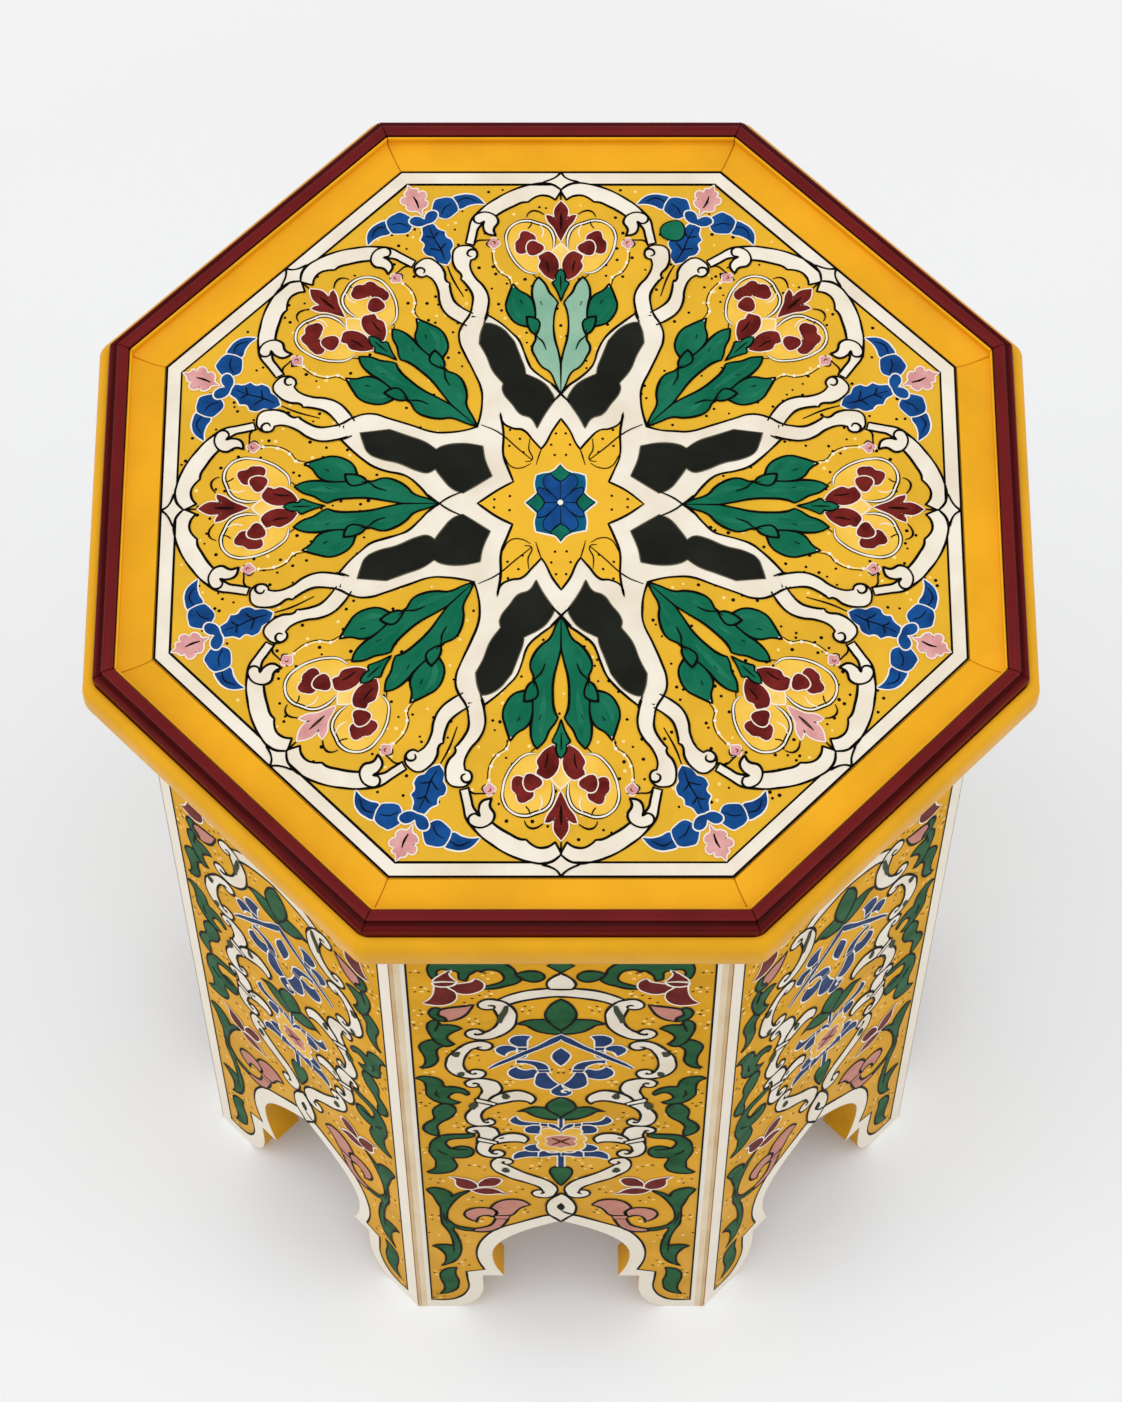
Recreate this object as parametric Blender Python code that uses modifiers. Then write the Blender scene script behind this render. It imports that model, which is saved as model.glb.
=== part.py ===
"""Octagonal painted nightstand: eight mitred side panels with cusped arches carry a framed octagonal top.

Units are metres and +Z is up. The origin is on the floor under the middle of the top, and the front faces -Y.
"""

import math

import bmesh
import bpy
from mathutils import Matrix, Vector

# The whole
FACE_HEIGHT = 0.600  # floor to the painted face of the top board
BOARD_ACROSS = 0.388  # visible top board, across flats
OVERHANG = 0.027  # rail's nose past the face of a side panel
CLEARANCE = 0.0003  # gap between two pieces that touch

# Top board
BOARD_THICKNESS = 0.028
TONGUE_LENGTH = 0.009
TONGUE_THICKNESS = 0.006
TONGUE_DROP = 0.008  # board's face down to the top of its tongue

# Cove strip, between the board and the bead
COVE_WIDTH = 0.0176
COVE_DIP = 0.0014  # depth of the hollow below the board's face
LIP_WIDTH = 0.0011
LIP_HEIGHT = 0.0046  # lip above the board's face

# Bead strip, on the rail
BEAD_WIDTH = 0.0104
BEAD_BAND = 0.0060  # width of its upper band
BEAD_HEIGHT = 0.0060  # crown of the band above the board's face
BEAD_QUIRK = 0.0022  # step from the band down to the lower roll
BEAD_EDGE = 0.0016  # foot of the lower roll above the board's face
BEAD_SEAT = 0.0054  # underside of the bead below the board's face

# Edge rail
NOSE_WIDTH = 0.0060  # rail beyond the bead
NOSE_SINK = 0.0030  # upper edge of the rail below the board's face
NOSE_DROP = 0.0080  # height of the rounded shoulder
RAIL_FOOT_RADIUS = 0.0080  # rounding under the nose

# Side panels
PANEL_THICKNESS = 0.018
FOOT_WIDTH = 0.0215  # foot on the floor, from the upright edge
FOOT_FLARE = 0.0170  # run of the curve from the foot in to the upright below the cusp
FOOT_RISE = 0.0360  # height of that curve
STEP_RISE = 0.0185  # plain upright between the curve and the cusp
CUSP_REACH = 0.0120  # cusp past the upright below it
HAUNCH_RECESS = 0.0062  # widest part of the arch behind the cusp
HAUNCH_RISE = 0.0370  # cusp up to the widest part of the arch
ARCH_RISE = 0.0565  # widest part up to the point of the arch

# Glue blocks in the inner corners
BLOCK_LEG = 0.028  # along each panel
BLOCK_NOSE = 0.003  # blunted corner
BLOCK_ABOVE_ARCH = 0.022

# Cleats that hold the top
CLEAT_DEPTH = 0.022
CLEAT_HEIGHT = 0.022
CLEAT_END_GAP = 0.005  # to the glue block

# Wood screws through the cleats
SCREW_RADIUS = 0.0020
SCREW_BITE = 0.012  # length inside the board
SCREW_POINT = 0.003
SCREW_INSET = 0.016  # from the end of the cleat
HEAD_RADIUS = 0.0042
HEAD_HEIGHT = 0.0026
SLOT_WIDTH = 0.0011
SLOT_DEPTH = 0.0012

# Shape of an octagon and fineness of curves
SIDES = 8
SIDE_TURN = 2 * math.pi / SIDES
HALF_SIDE = math.tan(SIDE_TURN / 2)  # half the length of a side, for a distance of 1 from the middle
CORNER = 1 / math.cos(SIDE_TURN / 2)  # middle to corner, for a distance of 1 to the side
ROUND = 0.5523  # handle of a quarter circle, as a share of its radius
ARCH_STEPS = 7
MOULDING_STEPS = 4
SCREW_SIDES = 12
WELD = 1e-6

# Places that follow from the sizes, as distances from the upright middle line and heights over the floor
BOARD_R = BOARD_ACROSS / 2
TONGUE_R = BOARD_R + TONGUE_LENGTH
COVE_IN_R = BOARD_R + CLEARANCE
COVE_OUT_R = BOARD_R + COVE_WIDTH
BEAD_IN_R = COVE_OUT_R + CLEARANCE
BEAD_OUT_R = COVE_OUT_R + BEAD_WIDTH
RAIL_R = BEAD_OUT_R + NOSE_WIDTH
PANEL_R = RAIL_R - OVERHANG
PANEL_IN_R = PANEL_R - PANEL_THICKNESS
BOARD_BOTTOM = FACE_HEIGHT - BOARD_THICKNESS
TONGUE_TOP = FACE_HEIGHT - TONGUE_DROP
TONGUE_BOTTOM = TONGUE_TOP - TONGUE_THICKNESS
CARCASE_TOP = BOARD_BOTTOM - CLEARANCE
CUSP_HEIGHT = FOOT_RISE + STEP_RISE
ARCH_HEIGHT = CUSP_HEIGHT + HAUNCH_RISE + ARCH_RISE
BLOCK_BOTTOM = ARCH_HEIGHT + BLOCK_ABOVE_ARCH
CLEAT_R = PANEL_IN_R - CLEARANCE
CLEAT_BOTTOM = CARCASE_TOP - CLEAT_HEIGHT
CLEAT_HALF = PANEL_IN_R * HALF_SIDE - BLOCK_LEG - CLEAT_END_GAP
SCREW_R = CLEAT_R - CLEAT_DEPTH / 2
SCREW_X = CLEAT_HALF - SCREW_INSET
HEAD_TOP = CLEAT_BOTTOM - CLEARANCE

# Sides in order round the table, seen from above and starting at the front
SIDE_NAMES = ("front", "front_right", "right", "back_right", "back", "back_left", "left", "front_left")


def clear_scene():
    for obj in list(bpy.data.objects):
        bpy.data.objects.remove(obj, do_unlink=True)


def new_collection(name):
    collection = bpy.data.collections.new(name)
    bpy.context.scene.collection.children.link(collection)
    return collection


def new_material(name, color, roughness, metallic=0.0):
    material = bpy.data.materials.new(name)
    material.use_nodes = True
    shader = material.node_tree.nodes["Principled BSDF"]
    shader.inputs["Base Color"].default_value = (*color, 1.0)
    shader.inputs["Roughness"].default_value = roughness
    shader.inputs["Metallic"].default_value = metallic
    return material


def knot(x, y, before=None, after=None):
    """One point of an outline. The handles are offsets from it, and a side with none is straight."""
    return Vector((x, y)), before, after


def extruded(name, knots, depth, steps):
    """A flat outline as a welded mesh, with its thickness centred on the outline's plane."""
    curve = bpy.data.curves.new(name, "CURVE")
    curve.dimensions = "2D"
    curve.fill_mode = "BOTH"
    curve.extrude = depth / 2
    curve.resolution_u = steps
    spline = curve.splines.new("BEZIER")
    spline.bezier_points.add(len(knots) - 1)
    spline.use_cyclic_u = True
    for point, (place, before, after) in zip(spline.bezier_points, knots):
        point.co = (*place, 0)
        point.handle_left_type = "FREE" if before else "VECTOR"
        point.handle_right_type = "FREE" if after else "VECTOR"
        if before:
            point.handle_left = (*(place + Vector(before)), 0)
        if after:
            point.handle_right = (*(place + Vector(after)), 0)
    guide = bpy.data.objects.new(name, curve)
    bpy.context.scene.collection.objects.link(guide)
    graph = bpy.context.evaluated_depsgraph_get()
    mesh = bpy.data.meshes.new_from_object(guide.evaluated_get(graph))
    bpy.data.objects.remove(guide)
    work = bmesh.new()
    work.from_mesh(mesh)
    bmesh.ops.remove_doubles(work, verts=work.verts, dist=WELD)
    work.to_mesh(mesh)
    work.free()
    return mesh


def reshape(mesh, place):
    """Moves every point of a mesh to where place says, and turns its faces outwards."""
    work = bmesh.new()
    work.from_mesh(mesh)
    for vert in work.verts:
        vert.co = place(vert.co)
    bmesh.ops.recalc_face_normals(work, faces=work.faces)
    if work.calc_volume(signed=True) < 0:
        bmesh.ops.reverse_faces(work, faces=work.faces)
    work.to_mesh(mesh)
    work.free()
    return mesh


def mitred_strip(name, profile):
    """A moulding along the front side, from its section as distance and height, with mitred ends."""

    def place(point):
        distance, height, end = point
        reach = distance * HALF_SIDE - CLEARANCE / 2
        return -math.copysign(reach, end), -distance, height

    return reshape(extruded(name, profile, 1.0, MOULDING_STEPS), place)


def box(name, low, high):
    """A box between two corners."""
    low = Vector(low)
    high = Vector(high)
    mesh = bpy.data.meshes.new(name)
    work = bmesh.new()
    sized = Matrix.Diagonal((*(high - low), 1))
    bmesh.ops.create_cube(work, size=1.0, matrix=Matrix.Translation((low + high) / 2) @ sized)
    work.to_mesh(mesh)
    work.free()
    return mesh


def upright_holes(name, places, radius, bottom, top):
    """One cutter with a round hole at each place."""
    mesh = bpy.data.meshes.new(name)
    work = bmesh.new()
    for x, y in places:
        middle = Matrix.Translation((x, y, (bottom + top) / 2))
        bmesh.ops.create_cone(
            work, cap_ends=True, segments=SCREW_SIDES, radius1=radius, radius2=radius,
            depth=top - bottom, matrix=middle,
        )
    work.to_mesh(mesh)
    work.free()
    cutter = bpy.data.objects.new(name, mesh)
    cutter.hide_render = True
    cutter.display_type = "WIRE"
    return cutter


def turned(name, profile, steps):
    """An object turned about the upright axis, from a profile that runs down its outer side."""
    mesh = bpy.data.meshes.new(name)
    work = bmesh.new()
    points = [work.verts.new((radius, 0, height)) for radius, height in profile]
    for upper, lower in zip(points, points[1:]):
        work.edges.new((upper, lower))
    work.to_mesh(mesh)
    work.free()
    obj = bpy.data.objects.new(name, mesh)
    spin = obj.modifiers.new("Turn", "SCREW")
    spin.steps = steps
    spin.render_steps = steps
    spin.use_smooth_shade = False
    spin.use_merge_vertices = True
    spin.merge_threshold = WELD
    return obj


def cut(obj, cutter):
    difference = obj.modifiers.new("Cut", "BOOLEAN")
    difference.operation = "DIFFERENCE"
    difference.object = cutter


def side_angle(index):
    return index * SIDE_TURN


def place_on_side(obj, index, parent, material, collection):
    """Turns a piece that is modelled at the front round to its own side."""
    obj.rotation_euler.z = side_angle(index)
    add_piece(obj, parent, material, collection)


def add_piece(obj, parent, material, collection):
    obj.parent = parent
    if not obj.data.materials:
        obj.data.materials.append(material)
    collection.objects.link(obj)


def strips(label, mesh, material, parent, collection):
    """One copy of a front piece for every side."""
    for index, side in enumerate(SIDE_NAMES):
        place_on_side(bpy.data.objects.new(f"{label}_{side}", mesh), index, parent, material, collection)


def screw_places(index):
    """The two screws of a side's cleat, seen from above."""
    turn = Matrix.Rotation(side_angle(index), 2)
    return [turn @ Vector((x, -SCREW_R)) for x in (-SCREW_X, SCREW_X)]


def cleat_sides():
    """Every second side carries a cleat."""
    return [(index, side) for index, side in enumerate(SIDE_NAMES) if index % 2 == 0]


def make_top_board(parent, collection, cutters):
    corners = [
        (0, FACE_HEIGHT),
        (BOARD_R, FACE_HEIGHT),
        (BOARD_R, TONGUE_TOP),
        (TONGUE_R, TONGUE_TOP),
        (TONGUE_R, TONGUE_BOTTOM),
        (BOARD_R, TONGUE_BOTTOM),
        (BOARD_R, BOARD_BOTTOM),
        (0, BOARD_BOTTOM),
    ]
    board = turned("top_board", [(distance * CORNER, height) for distance, height in corners], SIDES)
    board.rotation_euler.z = SIDE_TURN / 2
    places = []
    for index, _ in cleat_sides():
        places += screw_places(index)
    holes = upright_holes(
        "pilot_holes", places, SCREW_RADIUS + CLEARANCE,
        BOARD_BOTTOM - CLEARANCE, BOARD_BOTTOM + SCREW_BITE + CLEARANCE,
    )
    cutters.objects.link(holes)
    cut(board, holes)
    add_piece(board, parent, new_material("board_ochre", (0.76, 0.43, 0.03), 0.4), collection)


def make_coves(parent, collection):
    low = FACE_HEIGHT - COVE_DIP
    lip_in = COVE_OUT_R - LIP_WIDTH
    lip_top = FACE_HEIGHT + LIP_HEIGHT
    sweep = (lip_in - COVE_IN_R) / 3
    profile = [
        knot(COVE_IN_R, FACE_HEIGHT, after=(sweep, -2 * COVE_DIP)),
        knot(lip_in, low, before=(-sweep, 0)),
        knot(lip_in, lip_top),
        knot(COVE_OUT_R, lip_top),
        knot(COVE_OUT_R, TONGUE_TOP + CLEARANCE),
        knot(COVE_IN_R, TONGUE_TOP + CLEARANCE),
    ]
    material = new_material("cove_yellow", (0.85, 0.47, 0.02), 0.3)
    strips("cove", mitred_strip("cove", profile), material, parent, collection)


def make_beads(parent, collection):
    band_r = BEAD_IN_R + BEAD_BAND
    crown = FACE_HEIGHT + BEAD_HEIGHT
    edge = crown - BEAD_HEIGHT / 8
    quirk = crown - BEAD_QUIRK
    foot = FACE_HEIGHT + BEAD_EDGE
    roll = BEAD_OUT_R - band_r
    bow = BEAD_BAND / 4
    profile = [
        knot(BEAD_IN_R, FACE_HEIGHT - BEAD_SEAT + CLEARANCE),
        knot(BEAD_IN_R, edge, after=(bow, 0.5 * bow)),
        knot(BEAD_IN_R + BEAD_BAND / 2, crown, before=(-bow, 0), after=(bow, 0)),
        knot(band_r, edge, before=(-bow, 0.5 * bow)),
        knot(band_r, quirk, after=(roll * ROUND, 0)),
        knot(BEAD_OUT_R, foot, before=(0, (quirk - foot) * ROUND)),
        knot(BEAD_OUT_R, FACE_HEIGHT - BEAD_SEAT + CLEARANCE),
    ]
    material = new_material("bead_crimson", (0.19, 0.012, 0.02), 0.22)
    strips("bead", mitred_strip("bead", profile), material, parent, collection)


def make_rails(parent, collection):
    seat = FACE_HEIGHT - BEAD_SEAT
    nose_top = FACE_HEIGHT - NOSE_SINK
    shoulder = nose_top - NOSE_DROP
    foot = RAIL_FOOT_RADIUS
    notch_r = TONGUE_R + CLEARANCE
    back_r = COVE_OUT_R + CLEARANCE
    profile = [
        knot(COVE_IN_R, BOARD_BOTTOM),
        knot(COVE_IN_R, TONGUE_BOTTOM - CLEARANCE),
        knot(notch_r, TONGUE_BOTTOM - CLEARANCE),
        knot(notch_r, TONGUE_TOP),
        knot(back_r, TONGUE_TOP),
        knot(back_r, seat),
        knot(BEAD_OUT_R + CLEARANCE, seat),
        knot(BEAD_OUT_R + CLEARANCE, nose_top, after=(NOSE_WIDTH * ROUND, 0)),
        knot(RAIL_R, shoulder, before=(0, NOSE_DROP * ROUND)),
        knot(RAIL_R, BOARD_BOTTOM + foot, after=(0, -foot * ROUND)),
        knot(RAIL_R - foot, BOARD_BOTTOM, before=(foot * ROUND, 0)),
    ]
    material = new_material("rail_yellow", (0.87, 0.47, 0.018), 0.28)
    strips("rail", mitred_strip("rail", profile), material, parent, collection)


def arch_edge(half_width):
    """The left half of the cut edge, from the floor at the foot up to the point of the arch."""
    foot_x = -half_width + FOOT_WIDTH
    upright_x = foot_x + FOOT_FLARE
    cusp_x = upright_x + CUSP_REACH
    haunch_x = cusp_x - HAUNCH_RECESS
    haunch_height = CUSP_HEIGHT + HAUNCH_RISE
    return [
        knot(foot_x, 0, after=(FOOT_FLARE * ROUND, 0)),
        knot(upright_x, FOOT_RISE, before=(0, -FOOT_RISE * ROUND)),
        knot(upright_x, CUSP_HEIGHT),
        knot(cusp_x, CUSP_HEIGHT, after=(-HAUNCH_RECESS * 0.6, HAUNCH_RISE * 0.3)),
        knot(haunch_x, haunch_height, before=(0, -HAUNCH_RISE * 0.4), after=(0, ARCH_RISE * 0.45)),
        knot(0, ARCH_HEIGHT, before=(haunch_x * 0.5, -ARCH_RISE * 0.24)),
    ]


def mirrored(knots):
    """The same edge on the right, walked the other way."""

    def flip(handle):
        return (-handle[0], handle[1]) if handle else None

    return [
        (Vector((-place.x, place.y)), flip(after), flip(before))
        for place, before, after in reversed(knots)
    ]


def make_side_panels(parent, collection):
    half_width = PANEL_R * HALF_SIDE
    left = arch_edge(half_width)
    point, before, _ = left[-1]
    apex = knot(*point, before=before, after=(-before[0], before[1]))
    outline = [knot(-half_width, CARCASE_TOP), knot(-half_width, 0), *left[:-1], apex]
    outline += [*mirrored(left[:-1]), knot(half_width, 0), knot(half_width, CARCASE_TOP)]

    def place(point):
        across, height, outward = point
        distance = PANEL_R - PANEL_THICKNESS / 2 + outward
        if abs(across) > half_width - WELD:
            across = math.copysign(distance * HALF_SIDE - CLEARANCE / 2, across)
        return across, -distance, height

    mesh = reshape(extruded("side_panel", outline, PANEL_THICKNESS, ARCH_STEPS), place)
    strips("side_panel", mesh, new_material("panel_ochre", (0.70, 0.36, 0.025), 0.42), parent, collection)


def make_corner_blocks(parent, collection):
    """Glue blocks, modelled towards -Y and turned half a side to the corners."""
    corner = (PANEL_IN_R - CLEARANCE) * CORNER
    slant = math.pi / 2 - SIDE_TURN / 2
    across = math.sin(slant)
    inward = math.cos(slant)
    outline = []
    for side, leg in ((-1, BLOCK_LEG), (-1, BLOCK_NOSE), (1, BLOCK_NOSE), (1, BLOCK_LEG)):
        outline.append(knot(side * leg * across, -corner + leg * inward))
    height = CARCASE_TOP - BLOCK_BOTTOM
    middle = (CARCASE_TOP + BLOCK_BOTTOM) / 2
    mesh = reshape(
        extruded("corner_block", outline, height, 1),
        lambda point: (point.x, point.y, point.z + middle),
    )
    material = new_material("block_pine", (0.50, 0.33, 0.17), 0.75)
    for index, side in enumerate(SIDE_NAMES):
        block = bpy.data.objects.new(f"corner_block_{side}", mesh)
        place_on_side(block, index + 0.5, parent, material, collection)


def make_cleats(parent, collection, cutters):
    material = new_material("cleat_pine", (0.55, 0.38, 0.20), 0.7)
    for index, side in cleat_sides():
        mesh = box(
            f"cleat_{side}",
            (-CLEAT_HALF, -CLEAT_R, CLEAT_BOTTOM),
            (CLEAT_HALF, -CLEAT_R + CLEAT_DEPTH, CARCASE_TOP),
        )
        cleat = bpy.data.objects.new(f"cleat_{side}", mesh)
        holes = upright_holes(
            f"cleat_holes_{side}", screw_places(index), SCREW_RADIUS + CLEARANCE,
            CLEAT_BOTTOM - CLEAT_HEIGHT, CARCASE_TOP + CLEAT_HEIGHT,
        )
        cutters.objects.link(holes)
        cut(cleat, holes)
        place_on_side(cleat, index, parent, material, collection)


def make_screws(parent, collection, cutters):
    """Slotted wood screws, turned once about their own axis with the head's seat at the origin."""
    shank_top = BOARD_BOTTOM + SCREW_BITE - HEAD_TOP
    blank = turned(
        "screw_blank",
        [
            (0, shank_top),
            (SCREW_RADIUS, shank_top - SCREW_POINT),
            (SCREW_RADIUS, 0),
            (HEAD_RADIUS, 0),
            (HEAD_RADIUS, -HEAD_HEIGHT / 3),
            (HEAD_RADIUS * 0.7, -HEAD_HEIGHT * 0.85),
            (0, -HEAD_HEIGHT),
        ],
        SCREW_SIDES,
    )
    slot_reach = 2 * HEAD_RADIUS
    slot_mesh = box(
        "screw_slot",
        (-slot_reach, -SLOT_WIDTH / 2, -HEAD_HEIGHT - SLOT_DEPTH),
        (slot_reach, SLOT_WIDTH / 2, -HEAD_HEIGHT + SLOT_DEPTH),
    )
    slot = bpy.data.objects.new("screw_slot", slot_mesh)
    slot.hide_render = True
    slot.display_type = "WIRE"
    cutters.objects.link(slot)
    cut(blank, slot)
    collection.objects.link(blank)
    graph = bpy.context.evaluated_depsgraph_get()
    mesh = bpy.data.meshes.new_from_object(blank.evaluated_get(graph))
    bpy.data.objects.remove(blank)
    material = new_material("screw_steel", (0.55, 0.54, 0.52), 0.35, 1.0)
    for index, side in cleat_sides():
        for hand, (x, y) in zip(("left", "right"), screw_places(index)):
            screw = bpy.data.objects.new(f"top_screw_{side}_{hand}", mesh)
            screw.location = (x, y, HEAD_TOP)
            screw.rotation_euler.z = side_angle(index)
            add_piece(screw, parent, material, collection)


def main():
    clear_scene()
    collection = new_collection("octagonal_nightstand")
    cutters = new_collection("cutters")
    parent = bpy.data.objects.new("nightstand", None)
    collection.objects.link(parent)
    make_top_board(parent, collection, cutters)
    make_coves(parent, collection)
    make_beads(parent, collection)
    make_rails(parent, collection)
    make_side_panels(parent, collection)
    make_corner_blocks(parent, collection)
    make_cleats(parent, collection, cutters)
    make_screws(parent, collection, cutters)


main()
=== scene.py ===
"""Finish of the octagonal painted nightstand.

Softened boards and mouldings, enamel paint with its drawn ornament, and a plain studio.
"""

import math
import random

import bmesh
import bpy
from bpy.props import FloatProperty, FloatVectorProperty, IntProperty, PointerProperty
from mathutils import Matrix, Vector, noise
from mathutils.geometry import interpolate_bezier


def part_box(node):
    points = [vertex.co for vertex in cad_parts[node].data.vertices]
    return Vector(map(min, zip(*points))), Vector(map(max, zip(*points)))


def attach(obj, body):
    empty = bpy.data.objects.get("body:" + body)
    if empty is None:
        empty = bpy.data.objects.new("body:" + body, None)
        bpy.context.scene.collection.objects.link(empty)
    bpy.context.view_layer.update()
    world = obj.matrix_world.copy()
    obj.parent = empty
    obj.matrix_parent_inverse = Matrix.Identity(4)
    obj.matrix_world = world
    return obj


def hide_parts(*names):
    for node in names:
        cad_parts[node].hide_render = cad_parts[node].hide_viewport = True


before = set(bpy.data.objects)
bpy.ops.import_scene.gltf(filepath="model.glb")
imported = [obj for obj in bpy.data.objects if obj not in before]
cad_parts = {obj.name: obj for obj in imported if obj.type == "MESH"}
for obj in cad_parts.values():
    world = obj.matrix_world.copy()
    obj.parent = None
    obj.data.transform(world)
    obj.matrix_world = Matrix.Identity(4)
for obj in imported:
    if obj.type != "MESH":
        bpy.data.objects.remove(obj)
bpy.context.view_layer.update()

bl_info = {
    "name": "Painted Nightstand",
    "version": (1, 0, 0),
    "blender": (4, 5, 0),
    "location": "3D View > Sidebar > Nightstand",
    "description": "Finishes the octagonal nightstand with enamel paint and a studio",
    "category": "Object",
}

SIDES = ("front", "front_right", "right", "back_right", "back", "back_left", "left", "front_left")
TURN = math.radians(45)
HALF_TURN = TURN / 2
MM = 0.001

# Levels and faces that the paint lies on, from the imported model
TOP_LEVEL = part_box("top_board")[1][2]
PANEL_FACE = -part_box("side_panel_front")[0][1]
PANEL_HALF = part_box("side_panel_front")[1][0] / MM
PANEL_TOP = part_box("side_panel_front")[1][2] / MM

GLUE_LINE = 0.0003

# How far the corners of the rail are rounded, to each side of the mitre
RAIL_CORNER = 0.003

# Tints by height, painted shade. The bead's roll is shaded, a dark painted shadow lies in the quirk
# over it, and the band above is left clean.
# The cove is darkened low down, at the foot of its lip: a brown painted shadow.
CLEAN = (1.0, 1.0, 1.0)
QUIRK_SHADOW = (0.28, 0.08, 0.07)
# Brown painted shadow low in the cove, at the foot of its lip
LIP_SHADOW = (0.84, 0.72, 0.42)
BEAD_TINTS = (
    (TOP_LEVEL + 0.0010, (0.74, 0.36, 0.34)),
    (TOP_LEVEL + 0.0033, (0.66, 0.28, 0.26)),
    (TOP_LEVEL + 0.0038, QUIRK_SHADOW),
    (TOP_LEVEL + 0.0050, QUIRK_SHADOW),
    (TOP_LEVEL + 0.0054, CLEAN),
)
COVE_TINTS = (
    (TOP_LEVEL + 0.0002, CLEAN),
    (TOP_LEVEL + 0.0008, LIP_SHADOW),
    (TOP_LEVEL + 0.0030, LIP_SHADOW),
    (TOP_LEVEL + 0.0040, CLEAN),
)

# The cut edge of the arch, in millimetres, as the panels are sawn
PANEL_THICKNESS = 18.0
FOOT_WIDTH = 21.5
FOOT_FLARE = 17.0
FOOT_RISE = 36.0
STEP_RISE = 18.5
CUSP_REACH = 12.0
HAUNCH_RECESS = 6.2
HAUNCH_RISE = 37.0
ARCH_RISE = 56.5
ARCH_STEPS = 12

# Handles of the arch's curves, as shares of their width and rise
ROUND = 0.5523
CUSP_PULL = (0.6, 0.3)
HAUNCH_PULL = 0.4
SHOULDER_PULL = 0.45
POINT_PULL = (0.5, 0.24)

# The painter's centre lies behind the middle of the board, and this fades out towards the rim
OFF_CENTRE = 4.2
OFF_CENTRE_REACH = 190.0
SQUEEZE = 0.07
SQUEEZE_REACH = 75.0

# The drawing wobbles by this much, in waves of this rate for each metre, and less close to the rim.
# The seed makes every run draw the same wobble.
WOBBLE = 0.0007
WOBBLE_RATE = 28
WOBBLE_FADE = 4
WOBBLE_SEED = 5

# Widths and heights of the painted faces as they are unwrapped
TOP_SHEET = 0.4
PANEL_SHEET = (0.18, 0.6)


def linear(red, green, blue):
    """A colour written in 0 to 255 display values, as Blender's shaders take it."""
    found = []
    for value in (red, green, blue):
        share = value / 255
        found.append(share / 12.92 if share <= 0.04045 else ((share + 0.055) / 1.055) ** 2.4)
    return tuple(found)


def colour_property(name, description, red, green, blue):
    return FloatVectorProperty(
        name=name,
        description=description,
        subtype="COLOR",
        size=3,
        min=0,
        max=1,
        default=linear(red, green, blue),
    )


class NightstandColours(bpy.types.PropertyGroup):
    top_ochre: colour_property("Top ground", "Ochre ground of the top", 235, 182, 50)
    panel_ochre: colour_property("Panel ground", "Ochre ground of the side panels", 231, 170, 40)
    rim_yellow: colour_property("Rim yellow", "Gloss yellow of the cove and the rail", 245, 178, 34)
    bead_crimson: colour_property("Bead crimson", "Gloss crimson of the bead", 111, 27, 28)
    white: colour_property("White", "Ribbons, web and borders", 243, 235, 220)
    black: colour_property("Black", "Dark cells of the web", 26, 27, 23)
    green: colour_property("Leaf green", "Leaves of the top", 10, 100, 71)
    panel_green: colour_property("Panel green", "Leaves of the side panels", 32, 94, 54)
    sage: colour_property("Sage", "Pale leaves of the back medallion", 150, 190, 165)
    blue: colour_property("Blue", "Corner sprays and rosette", 22, 80, 146)
    panel_blue: colour_property("Panel blue", "Palmettes of the side panels", 22, 58, 110)
    red: colour_property("Dark red", "Petals", 122, 38, 33)
    pink: colour_property("Pink", "Pale flowers of the top", 227, 168, 166)
    panel_pink: colour_property("Panel pink", "Pale flowers of the side panels", 202, 140, 125)
    cream: colour_property("Cream", "Buds", 250, 214, 122)
    line: colour_property("Line black", "Drawn outlines and dots", 14, 12, 8)


class NightstandPaint(bpy.types.PropertyGroup):
    step: FloatProperty(
        name="Coat",
        description="Thickness of one coat of paint",
        unit="LENGTH",
        default=0.00005,
        precision=6,
    )
    top_line: FloatProperty(
        name="Top line", description="Width of the drawn lines on the top", unit="LENGTH", default=0.0012
    )
    panel_line: FloatProperty(
        name="Panel line", description="Width of the drawn lines on the panels", unit="LENGTH", default=0.0013
    )
    arris: FloatProperty(
        name="Arris", description="Rounding of the sharp edges", unit="LENGTH", default=0.0005
    )
    top_dots: IntProperty(name="Top dots", description="Dark dots strewn over the top", default=1500)


# Reading and bending of drawn outlines


def knots(text):
    """Reads outline points "x,y x,y! ..." in millimetres. A "!" marks a corner."""
    found = []
    for word in text.split():
        x, y = word.rstrip("!").split(",")
        found.append((float(x), float(y), word.endswith("!")))
    return found


def front_knots(text):
    """Points read on the front medallion, with the painter's shift taken out."""
    return [
        (x, y + OFF_CENTRE * (1 - (y / OFF_CENTRE_REACH) ** 2), corner) for x, y, corner in knots(text)
    ]


def flipped(points):
    return [(-x, y, corner) for x, y, corner in reversed(points)]


def whole(half):
    """Closes a half outline, drawn from the axis to the axis, with its mirror image."""
    return half + flipped(half[1:-1])


def four_fold(quarter):
    """Closes a quarter of an outline, drawn from one axis to the next, with its mirror images."""
    return whole(quarter + [(x, -y, corner) for x, y, corner in reversed(quarter[:-1])])


def moved(points, across, up):
    return [(x + across, y + up, corner) for x, y, corner in points]


def disc(x, y, radius, lobes=4, ripple=0.0):
    """A round shape. The ripple raises that many petals on its edge."""
    found = []
    for index in range(lobes * 4):
        angle = math.pi * index / (lobes * 2)
        reach = radius * (1 + ripple * math.cos(lobes * angle))
        found.append((x + reach * math.cos(angle), y + reach * math.sin(angle), False))
    return found


def dot(x, y, radius):
    corners = (math.pi * index / 3 for index in range(6))
    return [(x + radius * math.cos(angle), y + radius * math.sin(angle), True) for angle in corners]


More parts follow.
